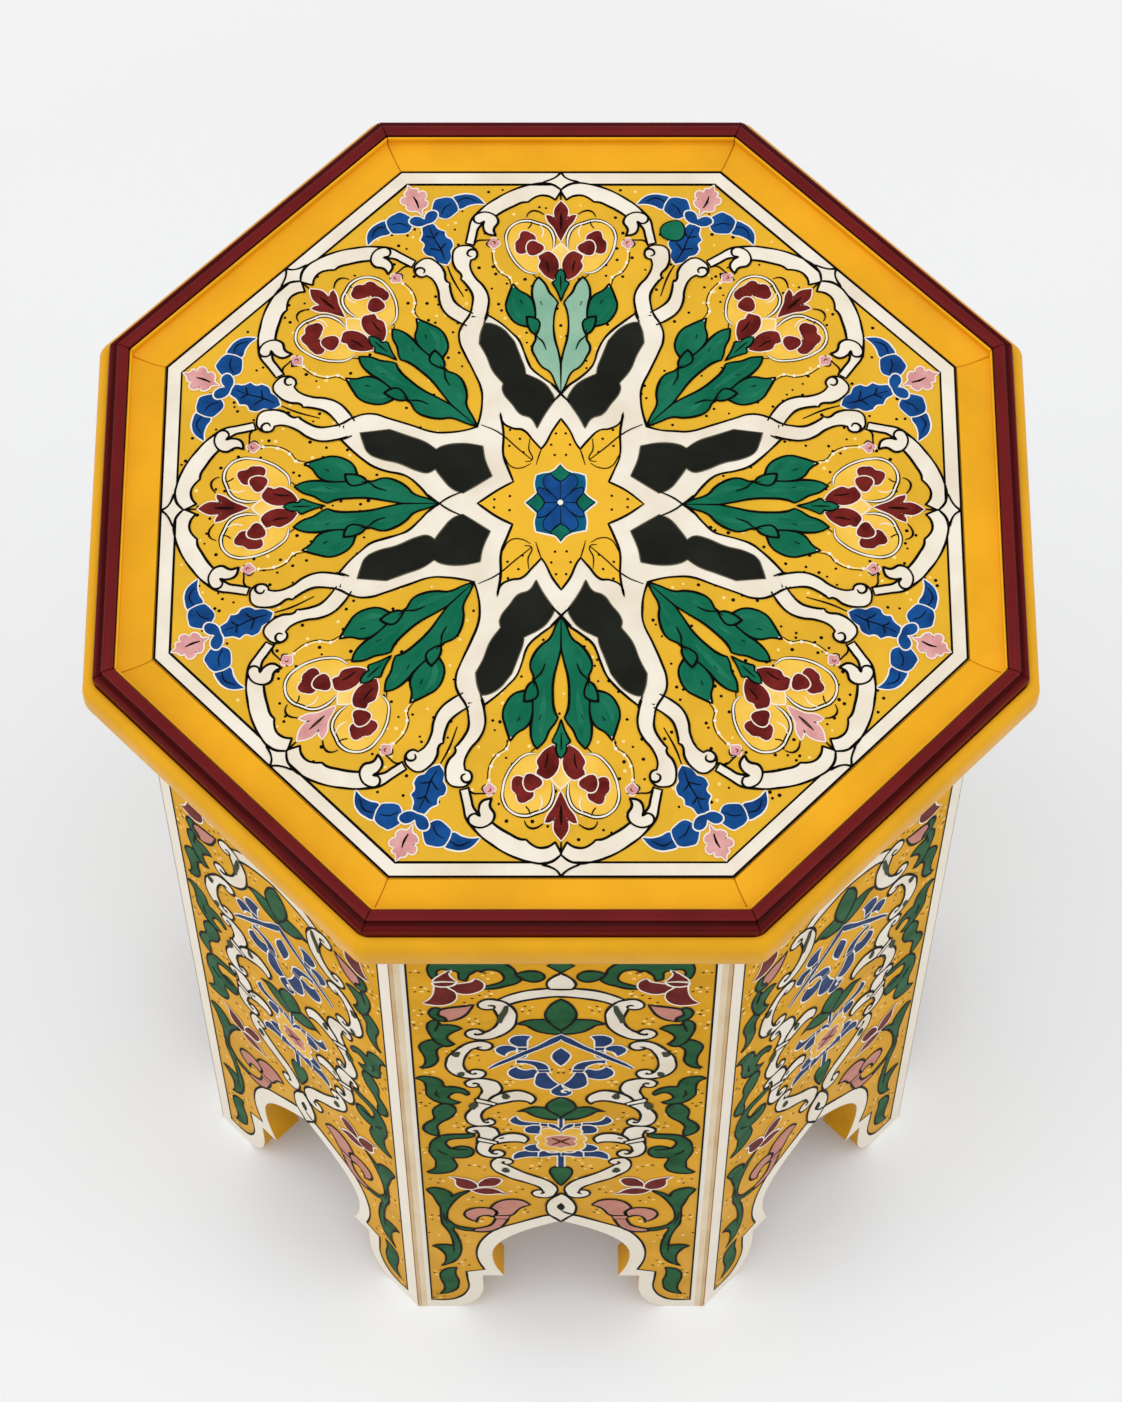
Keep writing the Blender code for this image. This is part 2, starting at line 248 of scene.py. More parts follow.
def octagon(apothem):
    reach = apothem / math.cos(HALF_TURN)
    return [
        (reach * math.cos(HALF_TURN + TURN * k), reach * math.sin(HALF_TURN + TURN * k), True)
        for k in range(len(SIDES))
    ]


def arch_edge():
    """The left half of the sawn edge of a panel, from the floor up to the point of the arch."""
    foot = Vector((FOOT_WIDTH - PANEL_HALF, 0))
    upright = foot + Vector((FOOT_FLARE, FOOT_RISE))
    step = upright + Vector((0, STEP_RISE))
    cusp = step + Vector((CUSP_REACH, 0))
    haunch = cusp + Vector((-HAUNCH_RECESS, HAUNCH_RISE))
    point = Vector((0, haunch.y + ARCH_RISE))
    runs = (
        (foot, foot + Vector((FOOT_FLARE * ROUND, 0)), upright - Vector((0, FOOT_RISE * ROUND)), upright),
        (
            cusp,
            cusp + Vector((-HAUNCH_RECESS * CUSP_PULL[0], HAUNCH_RISE * CUSP_PULL[1])),
            haunch - Vector((0, HAUNCH_RISE * HAUNCH_PULL)),
            haunch,
        ),
        (
            haunch,
            haunch + Vector((0, ARCH_RISE * SHOULDER_PULL)),
            point + Vector((haunch.x * POINT_PULL[0], -ARCH_RISE * POINT_PULL[1])),
            point,
        ),
    )
    foot_run, haunch_run, head_run = (interpolate_bezier(*run, ARCH_STEPS) for run in runs)
    edge = [*foot_run, step, *haunch_run, *head_run[1:]]
    return [(place[0], place[1], True) for place in edge]


# Curves made into thin solids of paint


def new_nib():
    """The section of every drawn line: flat on top, keyed into the wood below."""
    curve = bpy.data.curves.new("nib", "CURVE")
    curve.dimensions = "2D"
    spline = curve.splines.new("POLY")
    spline.points.add(2)
    for point, (x, y) in zip(spline.points, ((-1, 1), (1, 1), (0, -1))):
        point.co = (x, y, 0, 1)
    spline.use_cyclic_u = True
    return bpy.data.objects.new("nib", curve)


def add_spline(curve, points, closed, widths=None):
    spline = curve.splines.new("BEZIER")
    spline.bezier_points.add(len(points) - 1)
    for index, (x, y, corner) in enumerate(points):
        point = spline.bezier_points[index]
        point.co = (x, y, 0)
        kind = "VECTOR" if corner else "AUTO"
        point.handle_left_type = kind
        point.handle_right_type = kind
        if widths:
            point.radius = widths[index] / 2
    spline.use_cyclic_u = closed


def flat_curve(outlines, depth, fineness):
    """Filled outlines, drawn out by the depth to both sides."""
    curve = bpy.data.curves.new("outline", "CURVE")
    curve.dimensions = "2D"
    curve.fill_mode = "BOTH"
    curve.extrude = depth
    curve.resolution_u = fineness
    for points in outlines:
        add_spline(curve, points, True)
    return curve


def paste(target, source, place=None):
    """Adds a copy of one bmesh to another one, moved by the matrix, and right side out if mirrored."""
    mesh = bpy.data.meshes.new("copy")
    source.to_mesh(mesh)
    if place is not None:
        mesh.transform(place)
        if place.determinant() < 0:
            mesh.flip_normals()
    target.from_mesh(mesh)
    bpy.data.meshes.remove(mesh)


def curve_work(curve, weld):
    """The bmesh that a drawn curve makes, with near points welded. The curve itself is removed."""
    holder = bpy.data.objects.new("drawing", curve)
    bpy.context.scene.collection.objects.link(holder)
    graph = bpy.context.evaluated_depsgraph_get()
    mesh = bpy.data.meshes.new_from_object(holder.evaluated_get(graph))
    bpy.data.objects.remove(holder)
    bpy.data.curves.remove(curve)
    work = bmesh.new()
    work.from_mesh(mesh)
    bpy.data.meshes.remove(mesh)
    bmesh.ops.remove_doubles(work, verts=work.verts, dist=weld)
    return work


class Paintwork:
    """Painted shapes of one face of the piece, gathered into one bmesh for each colour.

    Layers are counted in coats from the wood. A mirrored shape lies a little higher than its twin,
    so that no two coats share a level where they cross. A width is a share of the usual line.
    """

    KEY = -0.05  # how far a coat reaches into the wood, in millimetres
    MIRROR_LIFT = 0.4  # share of a coat
    WELD = 0.0005  # points closer than this are one, in millimetres
    UNEVEN = (0.75, 1.2)  # the least and the greatest share of a line's width
    START = 0.6  # share of the width where an open line starts
    END = 0.5  # and where it ends
    SLACK = 0.22  # how far a point strays, in millimetres
    TRIES = 4  # places tried for each strewn dot

    def __init__(self, coat, line, fineness, seed, pale=1.8, stress=0.0):
        self.coat = coat / MM
        self.line_width = line / MM
        self.pale_share = pale
        self.stress = stress
        self.fineness = fineness
        self.sheets = {}
        self.nib = new_nib()
        self.hand = random.Random(seed)

    def add(self, colour, curve, layer, places):
        work = curve_work(curve, self.WELD)
        upper = [vert for vert in work.verts if vert.co.z > 0]
        for vert in work.verts:
            vert.co.z = self.KEY
        bmesh.ops.recalc_face_normals(work, faces=work.faces)
        for face in work.faces:
            face.smooth = False
        sheet = self.sheets.setdefault(colour, bmesh.new())
        for place in places:
            mirrored = place.determinant() < 0
            height = (layer + 1 + (self.MIRROR_LIFT if mirrored else 0)) * self.coat
            for vert in upper:
                vert.co.z = height
            paste(sheet, work, place)
        work.free()

    def fill(self, colour, outlines, places, layer=2, fineness=None):
        """A flat shape. A second outline inside the first one is a hole."""
        curve = flat_curve(outlines, 1, fineness or self.fineness)
        self.add(colour, curve, layer, places)

    def line(self, colour, points, places, layer=3, width=1.0, closed=False, widths=None):
        """A drawn line, a little uneven as a brush leaves it. A list of widths is in millimetres."""
        curve = bpy.data.curves.new("line", "CURVE")
        curve.dimensions = "3D"
        curve.twist_mode = "Z_UP"
        curve.bevel_mode = "OBJECT"
        curve.bevel_object = self.nib
        curve.use_fill_caps = True
        curve.resolution_u = self.fineness
        if widths is None:
            widths = [width * self.line_width * self.hand.uniform(*self.UNEVEN) for _ in points]
            if not closed:
                widths[0] *= self.START
                widths[-1] *= self.END
            widths = self.press(points, widths, closed)
        add_spline(curve, points, closed, widths)
        self.add(colour, curve, layer, places)

    def press(self, points, widths, closed):
        """The widths where a level stroke is broader than an upright one, by the share in stress."""
        last = len(points) - 1
        found = []
        for index, width in enumerate(widths):
            before = index - 1 if closed else max(index - 1, 0)
            after = (index + 1) % len(points) if closed else min(index + 1, last)
            run = points[after][0] - points[before][0]
            rise = points[after][1] - points[before][1]
            length = math.hypot(run, rise)
            found.append(width * (1 + self.stress * abs(run) / length) if length else width)
        return found

    def stray(self):
        return self.hand.uniform(-self.SLACK, self.SLACK)

    def freehand(self, points):
        """The outline as a hand draws it, a little off at every point but those on the axis."""
        return [
            (x + self.stray(), y + self.stray(), corner) if x else (x, y, corner) for x, y, corner in points
        ]

    def shape(self, colour, edge, points, places, layer=2, width=1.0, closed=True):
        """A filled outline. A pale edge shows only outside the fill, a dark one lies on its rim."""
        points = self.freehand(points)
        if edge == "pale_line":
            self.line(edge, points, places, layer, self.pale_share * width, closed)
            self.fill(colour, [points], places, layer + 1)
        else:
            self.fill(colour, [points], places, layer)
            self.line(edge, points, places, layer + 1, width, closed)

    def strew(self, colour, spots, places, layer=0):
        """Many small dots in one coat."""
        self.fill(colour, [dot(*spot) for spot in spots], places, layer, fineness=1)

    def scatter(self, count, gap, pick, small, large):
        """Places for dots that keep apart from each other. pick gives one place at a time."""
        found = []
        for _ in range(count * self.TRIES):
            x, y = pick()
            if all(math.hypot(x - a, y - b) > gap for a, b, _ in found):
                found.append((x, y, self.hand.uniform(small, large)))
            if len(found) == count:
                break
        return found

    def finish(self, prefix, unwrap, materials):
        """Makes one piece of each colour."""
        nib = self.nib.data
        bpy.data.objects.remove(self.nib)
        bpy.data.curves.remove(nib)
        for colour, sheet in self.sheets.items():
            unwrap(sheet)
            piece = new_piece(f"{prefix}_{colour}", sheet, materials[colour])
            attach(piece, "root")


def new_piece(name, work, material):
    mesh = bpy.data.meshes.new(name)
    work.to_mesh(mesh)
    work.free()
    mesh.materials.append(material)
    piece = bpy.data.objects.new(name, mesh)
    bpy.context.scene.collection.objects.link(piece)
    return piece


# Places of the motifs

MIRROR = Matrix.Diagonal((-1, 1, 1, 1))


def on_top(turn):
    """A drawing with y outwards, laid on the top and turned from the front edge."""
    spin = Matrix.Rotation(math.pi + turn, 4, "Z")
    return Matrix.Translation((0, 0, TOP_LEVEL)) @ spin @ Matrix.Scale(MM, 4)


def on_panel(index):
    upright = Matrix.Rotation(math.pi / 2, 4, "X") @ Matrix.Scale(MM, 4)
    return Matrix.Rotation(index * TURN, 4, "Z") @ Matrix.Translation((0, -PANEL_FACE, 0)) @ upright


def both(places):
    return [*places, *(place @ MIRROR for place in places)]


def without(places, left_out):
    return [place for place in places if place not in left_out]


def settle_top(sheet):
    """Moves the paint to the painter's own centre, wobbles it a little and unwraps it flat."""
    noise.seed_set(WOBBLE_SEED)
    for vert in sheet.verts:
        x, y, z = vert.co
        reach = math.hypot(x, y) / MM
        fade = max(0.0, 1 - (reach / OFF_CENTRE_REACH) ** 2)
        squeeze = 1 - SQUEEZE * math.exp(-((reach / SQUEEZE_REACH) ** 2))
        wave = noise.noise_vector(Vector((x, y, 0)) * WOBBLE_RATE)
        wobble = wave * WOBBLE * min(1.0, WOBBLE_FADE * fade)
        vert.co = (x * squeeze + wobble.x, y + OFF_CENTRE * MM * fade + wobble.y, z)
    layer = sheet.loops.layers.uv.new("OFBake")
    for face in sheet.faces:
        for loop in face.loops:
            loop[layer].uv = (loop.vert.co.x / TOP_SHEET + 0.5, loop.vert.co.y / TOP_SHEET + 0.5)


def settle_panels(sheet):
    """Unwraps the paint of the eight panels side by side."""
    layer = sheet.loops.layers.uv.new("OFBake")
    for face in sheet.faces:
        centre = face.calc_center_median()
        index = round((math.atan2(centre.y, centre.x) + math.pi / 2) / TURN) % len(SIDES)
        back = Matrix.Rotation(-index * TURN, 3, "Z")
        for loop in face.loops:
            place = back @ loop.vert.co
            across = index + 0.5 + place.x / PANEL_SHEET[0]
            loop[layer].uv = (across / len(SIDES), place.z / PANEL_SHEET[1])


# Finishes

# Where the noise of a blotch turns from the second tone to the first, and the part that varies the sheen
BLOTCH_STOPS = (0.34, 0.62)
SHEEN_SPAN = (0.3, 0.7)
GLOSS_ROUGHNESS = 0.12
LINE_SHEEN = 0.02
LINE_BLOTCH = 120.0

# How far the roughness swings round its usual value
ENAMEL_SWING = (0.06, -0.05)
LINE_SWING = (0.1, -0.1)
STEEL_SWING = (-0.09, 0.09)

# Fine marks: scale and detail of the noise, strength and depth of the bump
BRUSH_MARKS = (650.0, 3.0, 0.10, 0.0003)
LINE_MARKS = (900.0, 2.0, 0.12, 0.0002)

# Bare pine: stretch and noise of the grain, where it turns from dark to pale, its bump and its roughness
PINE_STRETCH = (1.0, 1.0, 0.06)
PINE_GRAIN = {"scale": 160.0, "detail": 6.0, "roughness": 0.65}
PINE_STOPS = (0.30, 0.62)
PINE_BUMP = (0.25, 0.0004)
PINE_ROUGHNESS = 0.72

STEEL = (0.55, 0.54, 0.52)
STEEL_ROUGHNESS = 0.37
STEEL_SCRATCHES = 900.0


def shade(colour, factor):
    return tuple(min(1.0, channel * factor) for channel in colour)


def new_material(name):
    material = bpy.data.materials.new(name)
    material.use_nodes = True
    tree = material.node_tree
    return material, tree, tree.nodes["Principled BSDF"]


def add_node(tree, kind, **values):
    node = tree.nodes.new(kind)
    for key, value in values.items():
        if key in node.inputs:
            node.inputs[key].default_value = value
        else:
            setattr(node, key, value)
    return node


def object_place(tree):
    return tree.nodes.new("ShaderNodeTexCoord").outputs["Object"]


def add_noise(tree, place, scale, detail=4.0, roughness=0.55):
    texture = add_node(tree, "ShaderNodeTexNoise", Scale=scale, Detail=detail, Roughness=roughness)
    tree.links.new(place, texture.inputs["Vector"])
    return texture.outputs["Fac"]


def add_ramp(tree, value, stops):
    ramp = tree.nodes.new("ShaderNodeValToRGB")
    elements = ramp.color_ramp.elements
    while len(elements) < len(stops):
        elements.new(1.0)
    for element, (position, colour) in zip(elements, stops):
        element.position = position
        element.color = (*colour, 1)
    tree.links.new(value, ramp.inputs["Fac"])
    return ramp.outputs["Color"]


def add_range(tree, value, low, high, new_low, new_high):
    remap = tree.nodes.new("ShaderNodeMapRange")
    ends = {"From Min": low, "From Max": high, "To Min": new_low, "To Max": new_high}
    for name, end in ends.items():
        remap.inputs[name].default_value = end
    tree.links.new(value, remap.inputs["Value"])
    return remap.outputs["Result"]


def add_mix(tree, factor, first, second, mode="MIX"):
    mix = tree.nodes.new("ShaderNodeMix")
    mix.data_type = "RGBA"
    mix.blend_type = mode
    for socket, value in ((mix.inputs[0], factor), (mix.inputs[6], first), (mix.inputs[7], second)):
        if isinstance(value, bpy.types.NodeSocket):
            tree.links.new(value, socket)
        elif isinstance(value, tuple):
            socket.default_value = (*value, 1)
        else:
            socket.default_value = value
    return mix.outputs[2]


def add_bump(tree, shader, value, strength, distance):
    bump = add_node(tree, "ShaderNodeBump", Strength=strength, Distance=distance)
    tree.links.new(value, bump.inputs["Height"])
    tree.links.new(bump.outputs["Normal"], shader.inputs["Normal"])


def add_marks(tree, shader, place, scale, detail, strength, depth):
    add_bump(tree, shader, add_noise(tree, place, scale, detail), strength, depth)


def add_uneven_sheen(tree, shader, patch, rough, swing):
    low, high = (rough + reach for reach in swing)
    tree.links.new(add_range(tree, patch, *SHEEN_SPAN, low, high), shader.inputs["Roughness"])


def enamel(name, colour, second, blotch=40.0, rough=0.36, gloss=0.0, sheen=0.05, tints=None):
    """Brushed enamel: two tones in soft blotches, fine brush marks, uneven sheen.

    Tints darken the tone by height, as painted shade: pairs of a height and a tint, from the lowest up.
    """
    material, tree, shader = new_material(name)
    place = object_place(tree)
    patch = add_noise(tree, place, blotch)
    tone = add_ramp(tree, patch, tuple(zip(BLOTCH_STOPS, (second, colour))))
    if tints:
        low, high = tints[0][0], tints[-1][0]
        split = tree.nodes.new("ShaderNodeSeparateXYZ")
        tree.links.new(place, split.inputs[0])
        level = add_range(tree, split.outputs["Z"], low, high, 0.0, 1.0)
        stops = [((height - low) / (high - low), tint) for height, tint in tints]
        tone = add_mix(tree, 1.0, tone, add_ramp(tree, level, stops), "MULTIPLY")
    tree.links.new(tone, shader.inputs["Base Color"])
    add_uneven_sheen(tree, shader, patch, rough, ENAMEL_SWING)
    shader.inputs["Specular IOR Level"].default_value = sheen
    shader.inputs["Coat Weight"].default_value = gloss
    shader.inputs["Coat Roughness"].default_value = GLOSS_ROUGHNESS
    add_marks(tree, shader, place, *BRUSH_MARKS)
    return material


def drawn_line(name, colour, rough):
    """Thin painted lines and dots."""
    material, tree, shader = new_material(name)
    place = object_place(tree)
    shader.inputs["Base Color"].default_value = (*colour, 1)
    shader.inputs["Specular IOR Level"].default_value = LINE_SHEEN
    add_uneven_sheen(tree, shader, add_noise(tree, place, LINE_BLOTCH), rough, LINE_SWING)
    add_marks(tree, shader, place, *LINE_MARKS)
    return material


def bare_pine(name):
    """Unpainted pine of the inside, with upright grain."""
    material, tree, shader = new_material(name)
    place = object_place(tree)
    stretch = add_node(tree, "ShaderNodeMapping", Scale=PINE_STRETCH)
    tree.links.new(place, stretch.inputs["Vector"])
    grain = add_noise(tree, stretch.outputs["Vector"], **PINE_GRAIN)
    tones = (linear(150, 108, 66), linear(206, 168, 120))
    tone = add_ramp(tree, grain, tuple(zip(PINE_STOPS, tones)))
    tree.links.new(tone, shader.inputs["Base Color"])
    shader.inputs["Roughness"].default_value = PINE_ROUGHNESS
    add_bump(tree, shader, grain, *PINE_BUMP)
    return material


def plain_steel(name):
    material, tree, shader = new_material(name)
    place = object_place(tree)
    shader.inputs["Base Color"].default_value = (*STEEL, 1)
    shader.inputs["Metallic"].default_value = 1.0
    scratches = add_noise(tree, place, STEEL_SCRATCHES)
    add_uneven_sheen(tree, shader, scratches, STEEL_ROUGHNESS, STEEL_SWING)
    return material


# Softened boards and mouldings

FLAT = math.radians(0.5)  # faces that meet at less than this are merged
BENT = math.radians(1)  # a mitre that bends more than this is rounded
ROUNDED = math.radians(30)  # and so is any other edge above this
SHARP = math.radians(40)  # edges above this are shaded as sharp

# Points closer than this are one: in a strip, and where two strips meet
STRIP_WELD = 1e-6
MITRE_WELD = 2e-5
MITRE_SLACK = 1e-4  # how far off a mitre plane a point may lie, as a share of a turn

# The same for a panel, in millimetres, and how near its upright edge a point counts as on it
PANEL_WELD = 0.001
EDGE_SLACK = 0.01

# Shares of the usual rounding
PANEL_ARRIS = 0.6
SCREW_ARRIS = 0.3


def round_over(work, edges, reach, segments):
    bmesh.ops.bevel(
        work,
        geom=edges,
        offset=reach,
        offset_type="OFFSET",
        segments=segments,
        profile=0.5,
        affect="EDGES",
        clamp_overlap=True,
        material=-1,
    )


def soften(work, arris, mitred=False):
    """Merges flat faces, rounds the sharp edges and shades the curves smooth."""
    bmesh.ops.remove_doubles(work, verts=work.verts, dist=STRIP_WELD)
    bmesh.ops.dissolve_limit(work, angle_limit=FLAT, verts=work.verts, edges=work.edges)
    sharp = [edge for edge in work.edges if edge.calc_face_angle(0.0) > ROUNDED]
    round_over(work, [edge for edge in sharp if not (mitred and at_mitre(edge))], arris, 2)
    for face in work.faces:
        face.smooth = True


def at_mitre(part):
    """Whether an edge or a face lies in one of the eight upright planes in which the strips meet."""
    turns = [math.atan2(vert.co.y, vert.co.x) / TURN - 0.5 for vert in part.verts]
    mitre = round(turns[0])
    return all(abs(turn - mitre) < MITRE_SLACK for turn in turns)


def close_mitres(part, index):
    """Draws the ends of one strip out over the glue line, on to the mitre planes."""
    spin = Matrix.Rotation(index * TURN, 4, "Z")
    for vert in part.verts:
        place = spin.inverted() @ vert.co
        reach = -place.y * math.tan(HALF_TURN)
        if abs(place.x) > reach - 2 * GLUE_LINE:
            place.x = math.copysign(reach, place.x)
            vert.co = spin @ place


def add_softened(name, nodes, arris, material, corner=0.0):
    """One piece that stands for several like nodes, with their sharp edges eased.

    With a corner, the nodes are the strips of a ring, joined there and rounded.
    """
    work = bmesh.new()
    for index, node in enumerate(nodes):
        part = bmesh.new()
        part.from_mesh(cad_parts[node].data)
        if corner:
            close_mitres(part, index)
        soften(part, arris, mitred=corner > 0)
        if corner:
            ends = [face for face in part.faces if at_mitre(face)]
            bmesh.ops.delete(part, geom=ends, context="FACES")
        paste(work, part)
        part.free()
    if corner:
        bmesh.ops.remove_doubles(work, verts=work.verts, dist=MITRE_WELD)
        joints = [edge for edge in work.edges if at_mitre(edge)]
        round_over(work, [edge for edge in joints if edge.calc_face_angle(0.0) > BENT], corner, 4)
        for face in work.faces:
            face.smooth = True
    piece = new_piece(name, work, material)
    piece.data.set_sharp_from_angle(angle=SHARP)
    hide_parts(*nodes)
    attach(piece, "root")
    return piece


def ring_of(label):
    return [f"{label}_{side}" for side in SIDES]


class NIGHTSTAND_OT_mouldings(bpy.types.Operator):
    """Finish the cove, the bead and the rail round the top"""

    bl_idname = "nightstand.mouldings"
    bl_label = "Mouldings"

    def execute(self, context):
        colours = context.scene.nightstand_colours
        arris = context.scene.nightstand_paint.arris
        yellow = colours.rim_yellow
        crimson = colours.bead_crimson
        # The rail has the cove's yellow, darkened: painted shade, as its face turns away from the light above
        rail = enamel(
            "rail_yellow",
            shade(yellow, 0.9),
            shade(yellow, 0.8),
            blotch=22.0,
            rough=0.3,
            gloss=0.04,
            sheen=0.04,
        )
        cove = enamel(
            "cove_yellow",
            yellow,
            shade(yellow, 0.88),
            blotch=22.0,
            rough=0.32,
            gloss=0.06,
            sheen=0.05,
            tints=COVE_TINTS,
        )
        bead = enamel(
            "bead_crimson",
            crimson,
            shade(crimson, 0.8),
            blotch=30.0,
            rough=0.22,
            gloss=0.06,
            sheen=0.04,
            tints=BEAD_TINTS,
        )
        add_softened("coves", ring_of("cove"), arris, cove)
        add_softened("beads", ring_of("bead"), arris, bead)
        add_softened("rails", ring_of("rail"), arris, rail, RAIL_CORNER)
        return {"FINISHED"}


class NIGHTSTAND_OT_boards(bpy.types.Operator):
    """Give the top board its ground and saw the eight side panels with their arches"""

    bl_idname = "nightstand.boards"
    bl_label = "Boards"

    def execute(self, context):
        colours = context.scene.nightstand_colours
        ochre = colours.top_ochre
        ground = enamel("top_ground", ochre, shade(ochre, 0.88), blotch=26.0, rough=0.36)
        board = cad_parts["top_board"]
        board.data.materials.clear()
        board.data.materials.append(ground)
        ochre = colours.panel_ochre
        ground = enamel("panel_ground", ochre, shade(ochre, 0.84), blotch=24.0, rough=0.4, sheen=PANEL_SHEEN)
        self.add_panels(ground, context.scene.nightstand_paint.arris * PANEL_ARRIS)
        return {"FINISHED"}

    def add_panels(self, material, arris):
        left = arch_edge()
        outline = [(-PANEL_HALF, PANEL_TOP, True), (-PANEL_HALF, 0.0, True), *left]
        outline += flipped(left[:-1])
        outline += [(PANEL_HALF, 0.0, True), (PANEL_HALF, PANEL_TOP, True)]
        panel = curve_work(flat_curve([outline], PANEL_THICKNESS / 2, 1), PANEL_WELD)
        mitre = PANEL_THICKNESS * math.tan(HALF_TURN)
        for vert in panel.verts:
            behind = vert.co.z < 0
            if behind and abs(vert.co.x) > PANEL_HALF - EDGE_SLACK:
                vert.co.x -= math.copysign(mitre, vert.co.x)
            vert.co.z -= PANEL_THICKNESS / 2
        bmesh.ops.recalc_face_normals(panel, faces=panel.faces)
        soften(panel, arris / MM)
        work = bmesh.new()
        for index in range(len(SIDES)):
            paste(work, panel, on_panel(index))
        panel.free()
        piece = new_piece("side_panels", work, material)
        piece.data.set_sharp_from_angle(angle=SHARP)
        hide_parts(*ring_of("side_panel"))
        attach(piece, "root")


class NIGHTSTAND_OT_inside(bpy.types.Operator):
    """Finish the glue blocks, the cleats and the screws inside"""

    bl_idname = "nightstand.inside"
    bl_label = "Inside"

    def execute(self, context):
        arris = context.scene.nightstand_paint.arris
        pine = bare_pine("bare_pine")
        add_softened("corner_blocks", ring_of("corner_block"), arris, pine)
        cleats = [f"cleat_{side}" for side in SIDES[::2]]
        add_softened("cleats", cleats, arris, pine)
        screws = [f"top_screw_{side}_{hand}" for side in SIDES[::2] for hand in ("left", "right")]
        steel = plain_steel("plain_steel")
        add_softened("top_screws", screws, arris * SCREW_ARRIS, steel)
        return {"FINISHED"}


# The painted top

BORDER_OUTER = 193.6
BORDER_INNER = 185.7
BORDER_LINE = 0.3  # how far its lines lie inside its edges

# One eighth of the white web, from the axis of the front medallion to the next diagonal
WEB = """0,61! -3.2,65.2 -9.5,70.5 -15,76 -16.8,79.5 -18.6,85.7 -21.4,92.7 -25,97 -30.5,102.4 -36.4,107.3!
    -45.5,106.7! -50,99.8 -50.5,92.5 -48.2,85.4 -44,74.8 -40,64.1 -40,56.9 -41,49.8 -43,43!"""
CELL = """-12.5,42! -9.5,48 -3.2,57.9! -4.5,61.5 -8.6,66.9 -17.7,72.6! -18.2,75.9 -20.5,82.9 -23.6,91.4!
    -25.5,94.5 -29.5,99 -35,102.4 -38.6,102.9! -40.5,97 -41.2,90.8! -37.7,83.8 -34.5,74.9 -29.5,67.2!
    -29.7,63.2 -25,54.8 -21.4,49.9 -16,47.2"""
SIDE_CELL = """-40,98.7! -41.8,85! -38,76.6 -34.4,68.2 -30.4,63! -32.6,59.6 -33.7,50.4 -32.6,42.4 -32,40.3!
    -24.4,39.2 -15.2,35.8! -11.2,41.9 -5.8,49.8! -8,54.4 -14.4,59.7 -19.4,63! -17.4,66.6 -18,70.6 -23,81.1
    -25.6,89.6 -28.8,95.2 -34.8,97.6"""
WEB_CROSSING = "-4.6,56.2! 0,61 5,66.4"
SIDE_CROSSING = "-6.6,50.2! -3.4,56.6 0,61 5,66.4"
STAR = """0,47.2! -4.5,40.7 -8.5,32.7 -10.2,30.2! -14.5,35 -20,41 -25,41.6 -30,45 -31.5,50.6! -30,40 -30,26.2
    -27.5,18.7 -24.4,11.5! -33,7 -42.3,0!"""
STAR_LINES = (
    "-10.2,30.2 -11.5,26 -12.8,21",
    "-41,44 -33,40 -22,30 -15,24",
    "-16.5,36 -16.8,30 -15,24 -18.5,23",
    "-30,27 -25.5,20 -20,19.5 -15.5,22",
)

ROSETTE = "0,21.6! -2.6,18.4 -5.7,16.9! -8.6,16.2 -12.6,15.2! -13.2,10.4 -11.9,5.5! -14.4,3 -18,0!"
ROSETTE_TIP = "0,21! -2.6,18 -5.4,16.6! -3,13.6 0,11.8!"
ROSETTE_SIDE_TIP = "-17.4,0! -14.2,2.6 -11.6,5.2! -9.6,2.6 -7.9,0! -9.6,-2.6 -11.6,-5.2! -14.2,-2.6"
ROSETTE_PETALS = (
    "0,0! 0,11.6! -3,13.4 -5.2,16! -8.4,14 -8.6,10.4 -5.6,6",
    "0,0! -5.2,5.4 -9,7.8 -11.8,7.6 -11.6,5! -9.4,2.4 -7.8,0!",
)
ROSETTE_EYE = 1.4
STAR_DOTS = "-2.6,39 -5,32.6 -21.6,36 -26.6,41 -27,32 -19.6,28.4 -34,2.2 -26,3.8 -3,26.8"
STAR_DOT = 0.75

# Left half of a medallion, y outwards, as read on the front one
BIG_LEAF = """0,57! -2.3,62 -5.5,69.5 -9.5,73 -13,78.6 -14.5,84 -13,89.5! -13.5,97 -13.2,105
    -13.6,110.5 -14.5,116 -13.2,124 -11,127.5! -7.7,123 -5.5,117.7 -2.7,113.6 -1.4,111! -3,107 -4,98.6
    -3.2,90.5 -1.4,82 0,75!"""
SIDE_LEAF = "-24,123! -21,119 -16,115.5 -13.6,109.5 -14.5,98 -17.5,97! -22.3,98.6 -26,103 -28,109.5 -26.8,115"
BUD_LEAF = "-17.5,103! -14,102.3 -11,100 -11.3,96 -12.5,92! -15.2,94 -17.2,98.5"
SEPAL = "0,112! -1.7,117.5 -3.5,121.6 -4.1,123.2 -2.2,125.3! -2.6,128 -1.2,131.2 0,132.4!"
TULIP = """0,175! -3.2,170 -3.6,166.4 -2.7,163.2! -5.5,165.5 -7.7,166! -6.4,161.8 -3.6,158.2 -1.8,153.6
    0,149.5!"""
CREAM_BUD = "0,148! -3.2,144.5 -4.5,141 -1.8,136.4 0,132.7!"
RED_PETAL = """-3.4,125.2! -2.4,128.7 -0.9,133 -1.2,136.8 -2.3,139.9 -4.2,142.4 -6.7,143.2 -8.6,142.2
    -11,140.8! -10.9,138.8! -10.2,137.6 -11,134.4 -9.8,131.2 -7.1,127.9"""
TREFOIL = "-18.9,146.4 -17,151.4 -13.2,145.2"
VOLUTE = "-15.4,155.2 -20.4,152.6 -21,146.8 -15.2,143.8"
LOBE = (4.2, 3, 0.09)  # radius, petals and ripple
